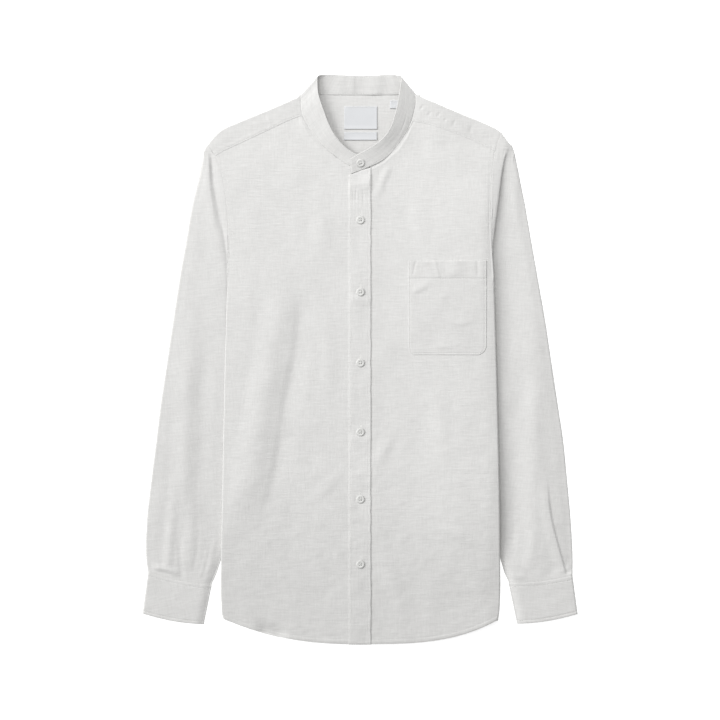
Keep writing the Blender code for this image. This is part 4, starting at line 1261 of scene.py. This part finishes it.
def band_half(t, w):
    """Half the band's thickness, thinner at its rounded edges and along its stitches."""
    near = np.minimum(w, 1 - w) * BAND_DEPTH
    ends = np.minimum(t, 1 - t) * BAND_LENGTH
    z = edge_profile(np.minimum(near, ends), BAND_THICKNESS / 2, np.where(w < 0.5, 1.7, 0.8))
    return z - 0.16 * near_line(near - BAND_STITCHES[0] * BAND_DEPTH, 0.15, 0.8)


def band_puckers(t, w):
    along, across = t * BAND_LENGTH, w * BAND_DEPTH
    z = 0.12 * noise(along, across, 7, 30, 3) + 0.24 * noise(along, across, 24, 18, 0)
    return z + 0.1 * noise(across, along, 4, 40, 4) - creases(BAND_CREASES, along, across)


def build_collar():
    t = spread((0, 0.0006), (0.004, 0.003), (0.996, 0.003), (1.0, 0.0006))
    w = spread((0, 0.008), (0.04, 0.02), (0.14, 0.03), (0.5, 0.07), (0.86, 0.03), (0.96, 0.02), (1.0, 0.008))
    t, w = np.meshgrid(t, w)
    normal = band_normals(t, w)
    centre = band_points(t, w) + normal * band_puckers(t, w)[..., None]
    half = normal * band_half(t, w)[..., None]
    uv = np.stack([t * BAND_LENGTH, w * BAND_DEPTH], axis=2)
    piece = add_slab("collar_cloth", "collar_band", centre + half, centre - half, uv=uv)
    lines = []
    for place in BAND_STITCHES:
        t = np.linspace(0.004, 0.996, 300)
        w = np.full(300, place)
        for face in (1, -1):
            shift = band_puckers(t, w) + face * (BAND_THICKNESS / 2 - 0.06)
            lines.append(band_points(t, w) + band_normals(t, w) * shift[:, None])
    return piece, lines


# The button's profile from the middle of its back: shares of its radius and thickness.
BUTTON_PROFILE = (
    (0.0, 0.0), (0.66, 0.0), (0.80, 0.06), (0.91, 0.22), (0.96, 0.46), (0.95, 0.62), (0.90, 0.78),
    (0.83, 0.88), (0.76, 0.92), (0.69, 0.91), (0.63, 0.85), (0.57, 0.78), (0.50, 0.74), (0.0, 0.73),
)
BUTTON_SEGMENTS = 48
HOLE_REACH = 1.75
HOLE_RADII = (0.72, 0.82)


def on_circle(radius, angle, z):
    return Vector((radius * math.cos(angle), radius * math.sin(angle), z))


def button_mesh():
    """A turned button with a raised rim and four holes."""
    bm = bmesh.new()
    rings = []
    for reach, height in BUTTON_PROFILE:
        angles = [2 * math.pi * k / BUTTON_SEGMENTS for k in range(BUTTON_SEGMENTS if reach else 1)]
        places = [on_circle(reach * BUTTON_RADIUS, a, height * BUTTON_THICKNESS) * MM for a in angles]
        rings.append([bm.verts.new(place) for place in places])
    for low, high in zip(rings, rings[1:]):
        for k in range(BUTTON_SEGMENTS):
            n = k + 1
            corners = low[k % len(low)], low[n % len(low)], high[n % len(high)], high[k % len(high)]
            bm.faces.new(dict.fromkeys(corners))
    drills = bmesh.new()
    low, high = (radius * MM for radius in HOLE_RADII)
    for k in range(4):
        sizes = {"radius1": low, "radius2": high, "depth": 4 * MM}
        made = bmesh.ops.create_cone(drills, cap_ends=True, segments=14, **sizes)
        place = on_circle(HOLE_REACH, math.radians(45 + 90 * k), 0.8) * MM
        bmesh.ops.translate(drills, verts=made["verts"], vec=place)
    blank, drill = (add_object(name, bpy.data.meshes.new(name)) for name in ("button_blank", "drills"))
    for form, item in ((bm, blank), (drills, drill)):
        form.normal_update()
        form.to_mesh(item.data)
        form.free()
    cut = blank.modifiers.new("holes", "BOOLEAN")
    cut.object = drill
    cut.solver = "EXACT"
    done = bpy.data.meshes.new_from_object(blank.evaluated_get(bpy.context.evaluated_depsgraph_get()))
    bpy.data.objects.remove(blank)
    bpy.data.objects.remove(drill)
    done.materials.clear()
    done.shade_smooth()
    done.set_sharp_from_angle(angle=math.radians(35))
    return done


# A thread's path through two holes: places along Y with their heights. Its place in X, how much of that it
# keeps in its middle and gains towards its ends, and its half sizes.
THREAD_PATH = ((-1.24, 0.3), (-1.15, 1.0), (-0.5, 1.4), (0.5, 1.4), (1.15, 1.0), (1.24, 0.3))
THREAD_X = 1.24
THREAD_BOW = (0.62, 0.25)
THREAD_HALF = (0.55, 0.3)
THREAD_SIDES = 6


def sewn_thread(name, places):
    """The two upright threads in each button's holes, bowed apart at their ends."""
    points, faces = [], []
    for place, axis in places:
        turn = Vector(axis).to_track_quat("Z", "Y").to_matrix()
        for across in (-THREAD_X, THREAD_X):
            faces += bar_faces(len(THREAD_PATH), THREAD_SIDES, len(points))
            for y, z in THREAD_PATH:
                for k in range(THREAD_SIDES):
                    angle = 2 * math.pi * k / THREAD_SIDES
                    x = across * (THREAD_BOW[0] + THREAD_BOW[1] * y * y) + THREAD_HALF[0] * math.cos(angle)
                    local = Vector((x, y, z + THREAD_HALF[1] * math.sin(angle)))
                    points.append(np.array(turn @ local) + np.array(place))
    return add_piece(name, make_mesh(name, np.array(points), faces), thread)


# A buttonhole's middle from its button's, half its slot's length, and, from the slot outwards, places with
# their heights over the placket.
BUTTONHOLE_PLACE = (-0.4, 3.2)
BUTTONHOLE_HALF = 7.6
BUTTONHOLE_SHAPE = ((0.3, -0.3), (0.38, 0.05), (0.6, 0.22), (0.85, 0.16), (1.05, -0.15))


def build_buttonholes():
    """Upright worked slits, each a slim raised ring round a slot, with its button over the lower part."""
    points, faces = [], []
    u = np.linspace(0, 2 * math.pi, 40, endpoint=False)
    for y in PLACKET_BUTTONS:
        faces += grid_faces(len(BUTTONHOLE_SHAPE), len(u), len(points), flip=True, closed=True)
        for width, rise in BUTTONHOLE_SHAPE:
            hole_x = BUTTON_X + BUTTONHOLE_PLACE[0] + width * np.cos(u)
            reach = BUTTONHOLE_HALF * np.clip(6 * np.sin(u), -1, 1)
            hole_y = y + BUTTONHOLE_PLACE[1] + reach + width * np.sin(u)
            points.extend(joined(hole_x, hole_y, placket_top(hole_x, hole_y) + rise))
    return add_piece("buttonholes", make_mesh("buttonholes", np.array(points), faces), thread)


LABEL_BASE = 1.15
LABEL_THICKNESS = 0.55
LABEL_STITCH = 1.2


def tape_places(size):
    half = size / 2
    return spread((-half, 0.2), (2 - half, 0.8), (0, 1.5), (half - 2, 0.8), (half, 0.2))


def build_label(label):
    """A bare tape sewn down along its upper edge."""
    x, y = np.meshgrid(tape_places(label.width), tape_places(label.height))
    near = np.minimum(label.width / 2 - np.abs(x), label.height / 2 - np.abs(y))
    z = edge_profile(near, LABEL_THICKNESS, 0.4) + 0.12 * noise(label.x + x, label.y + y, 14, 12, 1)
    z = z + 0.4 * near_edge(y + label.height / 2, 0, 6) + 0.1 * near_edge(label.width / 2 - x, 0, 6)
    top = joined(label.x + x, label.y + y, LABEL_BASE + 0.1 + z)
    bottom = joined(label.x + x, label.y + y, LABEL_BASE)
    piece = add_slab(label.name + "_tape", label.name, top, bottom, tape)
    reach = label.width / 2 - LABEL_STITCH
    line_x = label.x + np.linspace(-reach, reach, 20)
    return piece, [joined(line_x, label.y + label.height / 2 - LABEL_STITCH, LABEL_BASE + 0.85)]


def add_camera():
    data = bpy.data.cameras.new("camera")
    data.sensor_width = SENSOR
    data.lens = SENSOR * CAMERA_HEIGHT / VIEW_WIDTH
    data.clip_start, data.clip_end = 0.1, 50
    camera = add_object("camera", data)
    camera.location = (0, VIEW_CENTRE_Y * MM, CAMERA_HEIGHT * MM)
    bpy.context.scene.camera = camera


def add_light(name, kind, energy, direction, place=(0, 0, 0), **settings):
    """A lamp that shines along a direction."""
    data = bpy.data.lights.new(name, kind)
    data.energy = energy
    for key, value in settings.items():
        setattr(data, key, value)
    light = add_object(name, data)
    light.location = place
    aim(light, direction, "-Z")


FLOOR_GLOW = 0.6
WORLD_GLOW = 0.44
FLOOR_HALF = 6.0
FLOOR_Z = -0.0004


def add_floor():
    mesh = bpy.data.meshes.new("floor")
    bm = bmesh.new()
    bmesh.ops.create_grid(bm, x_segments=1, y_segments=1, size=FLOOR_HALF)
    bm.to_mesh(mesh)
    bm.free()
    floor = add_object("floor", mesh)
    floor.location.z = FLOOR_Z
    material, tree, shader = new_material(
        "floor_pale", Roughness=0.9, Emission_Color=(1, 1, 1, 1), Emission_Strength=FLOOR_GLOW
    )
    place = add_node(tree, "ShaderNodeTexCoord").outputs["Object"]
    cloud = add_node(tree, "ShaderNodeTexNoise", Vector=place, Scale=3.0).outputs["Fac"]
    tree.links.new(coloured(tree, cloud, (0.955,) * 3, (0.965,) * 3), shader.inputs["Base Color"])
    mesh.materials.append(material)
    return floor


ARMHOLE_STITCHES = (1.3, 6.8)


def armhole_lines():
    """Stitches on the body beside each armhole, at two distances from it."""
    lines = []
    for side in (-1, 1):
        for inset in ARMHOLE_STITCHES:
            y = np.linspace(ARMHOLE_TOP[side] - 16, UNDERARM + 6, 120)
            x = read(BODY_SIDE, y, side) - inset
            lines.append(joined(side * x, y, front_height(side, x, y) + 0.05))
    return lines


def hem_lines():
    """The hem's stitches on either side of the placket."""
    x = np.linspace(-186, 186, 260)
    y = np.where(x < 0, hem_y(-1, x), hem_y(1, x)) + HEM_STITCH
    line = joined(x, y, lying_height(x, y) - 0.1)
    return [line[x < -15], line[x > 16]]


def build_buttons():
    """The band's button and the placket's, with their threads."""
    t, w = (np.array(value) for value in BAND_BUTTON)
    out = band_normals(t, w)
    out = -out if out[2] < 0 else out
    places = [(band_points(t, w) + out * (BAND_THICKNESS / 2 + BUTTON_GAP), out)]
    for y in PLACKET_BUTTONS:
        z = float(placket_top(np.array(BUTTON_X), np.array(y)))
        places.append(((BUTTON_X, y, z + BUTTON_GAP), (0, 0, 1)))
    mesh = button_mesh()
    for number, (place, axis) in enumerate(places, 1):
        piece = add_piece(f"button_{number}_shell", mesh, button_shell, f"button_{number}")
        piece.location = Vector(place) * MM
        aim(piece, axis)
    sewn_thread("button_threads", places)


add_camera()
back_piece = build_back()
yoke, yoke_lines = build_yoke()
front_right, front_left = build_front(-1, "front_right"), build_front(1, "front_left")
placket_piece, placket_lines = build_placket()
pocket_piece, pocket_lines = build_pocket()
sleeve_right, sleeve_left = build_sleeve(-1, "sleeve_right"), build_sleeve(1, "sleeve_left")
cuff_right, right_cuff_lines = build_cuff(-1, "cuff_right")
cuff_left, left_cuff_lines = build_cuff(1, "cuff_left")
collar, collar_lines = build_collar()
labels = [build_label(label) for label in LABELS]

stitches("stitching_body", armhole_lines() + yoke_lines + hem_lines())
stitches("stitching_placket", placket_lines + pocket_lines)
stitches("stitching_collar", collar_lines)
stitches("stitching_cuffs", right_cuff_lines + left_cuff_lines)
label_lines = [line for _, lines in labels for line in lines]
stitches("stitching_labels", label_lines, length=1.6, gap=0.6, width=0.3, height=0.2)
build_buttonholes()
build_buttons()

floor = add_floor()
add_light("key", "SUN", 2.34, (0.79, -0.31, -0.53), angle=math.radians(34))
add_light("top", "AREA", 23, (0.4, -1.7, -1.6), (-0.4, 1.7, 1.6), shape="DISK", size=1.0)
world = bpy.context.scene.world or bpy.data.worlds.new("world")
bpy.context.scene.world = world
world.use_nodes = True
background = world.node_tree.nodes["Background"].inputs
background["Color"].default_value = (1, 1, 1, 1)
background["Strength"].default_value = WORLD_GLOW
bpy.context.scene.view_settings.view_transform = "Standard"
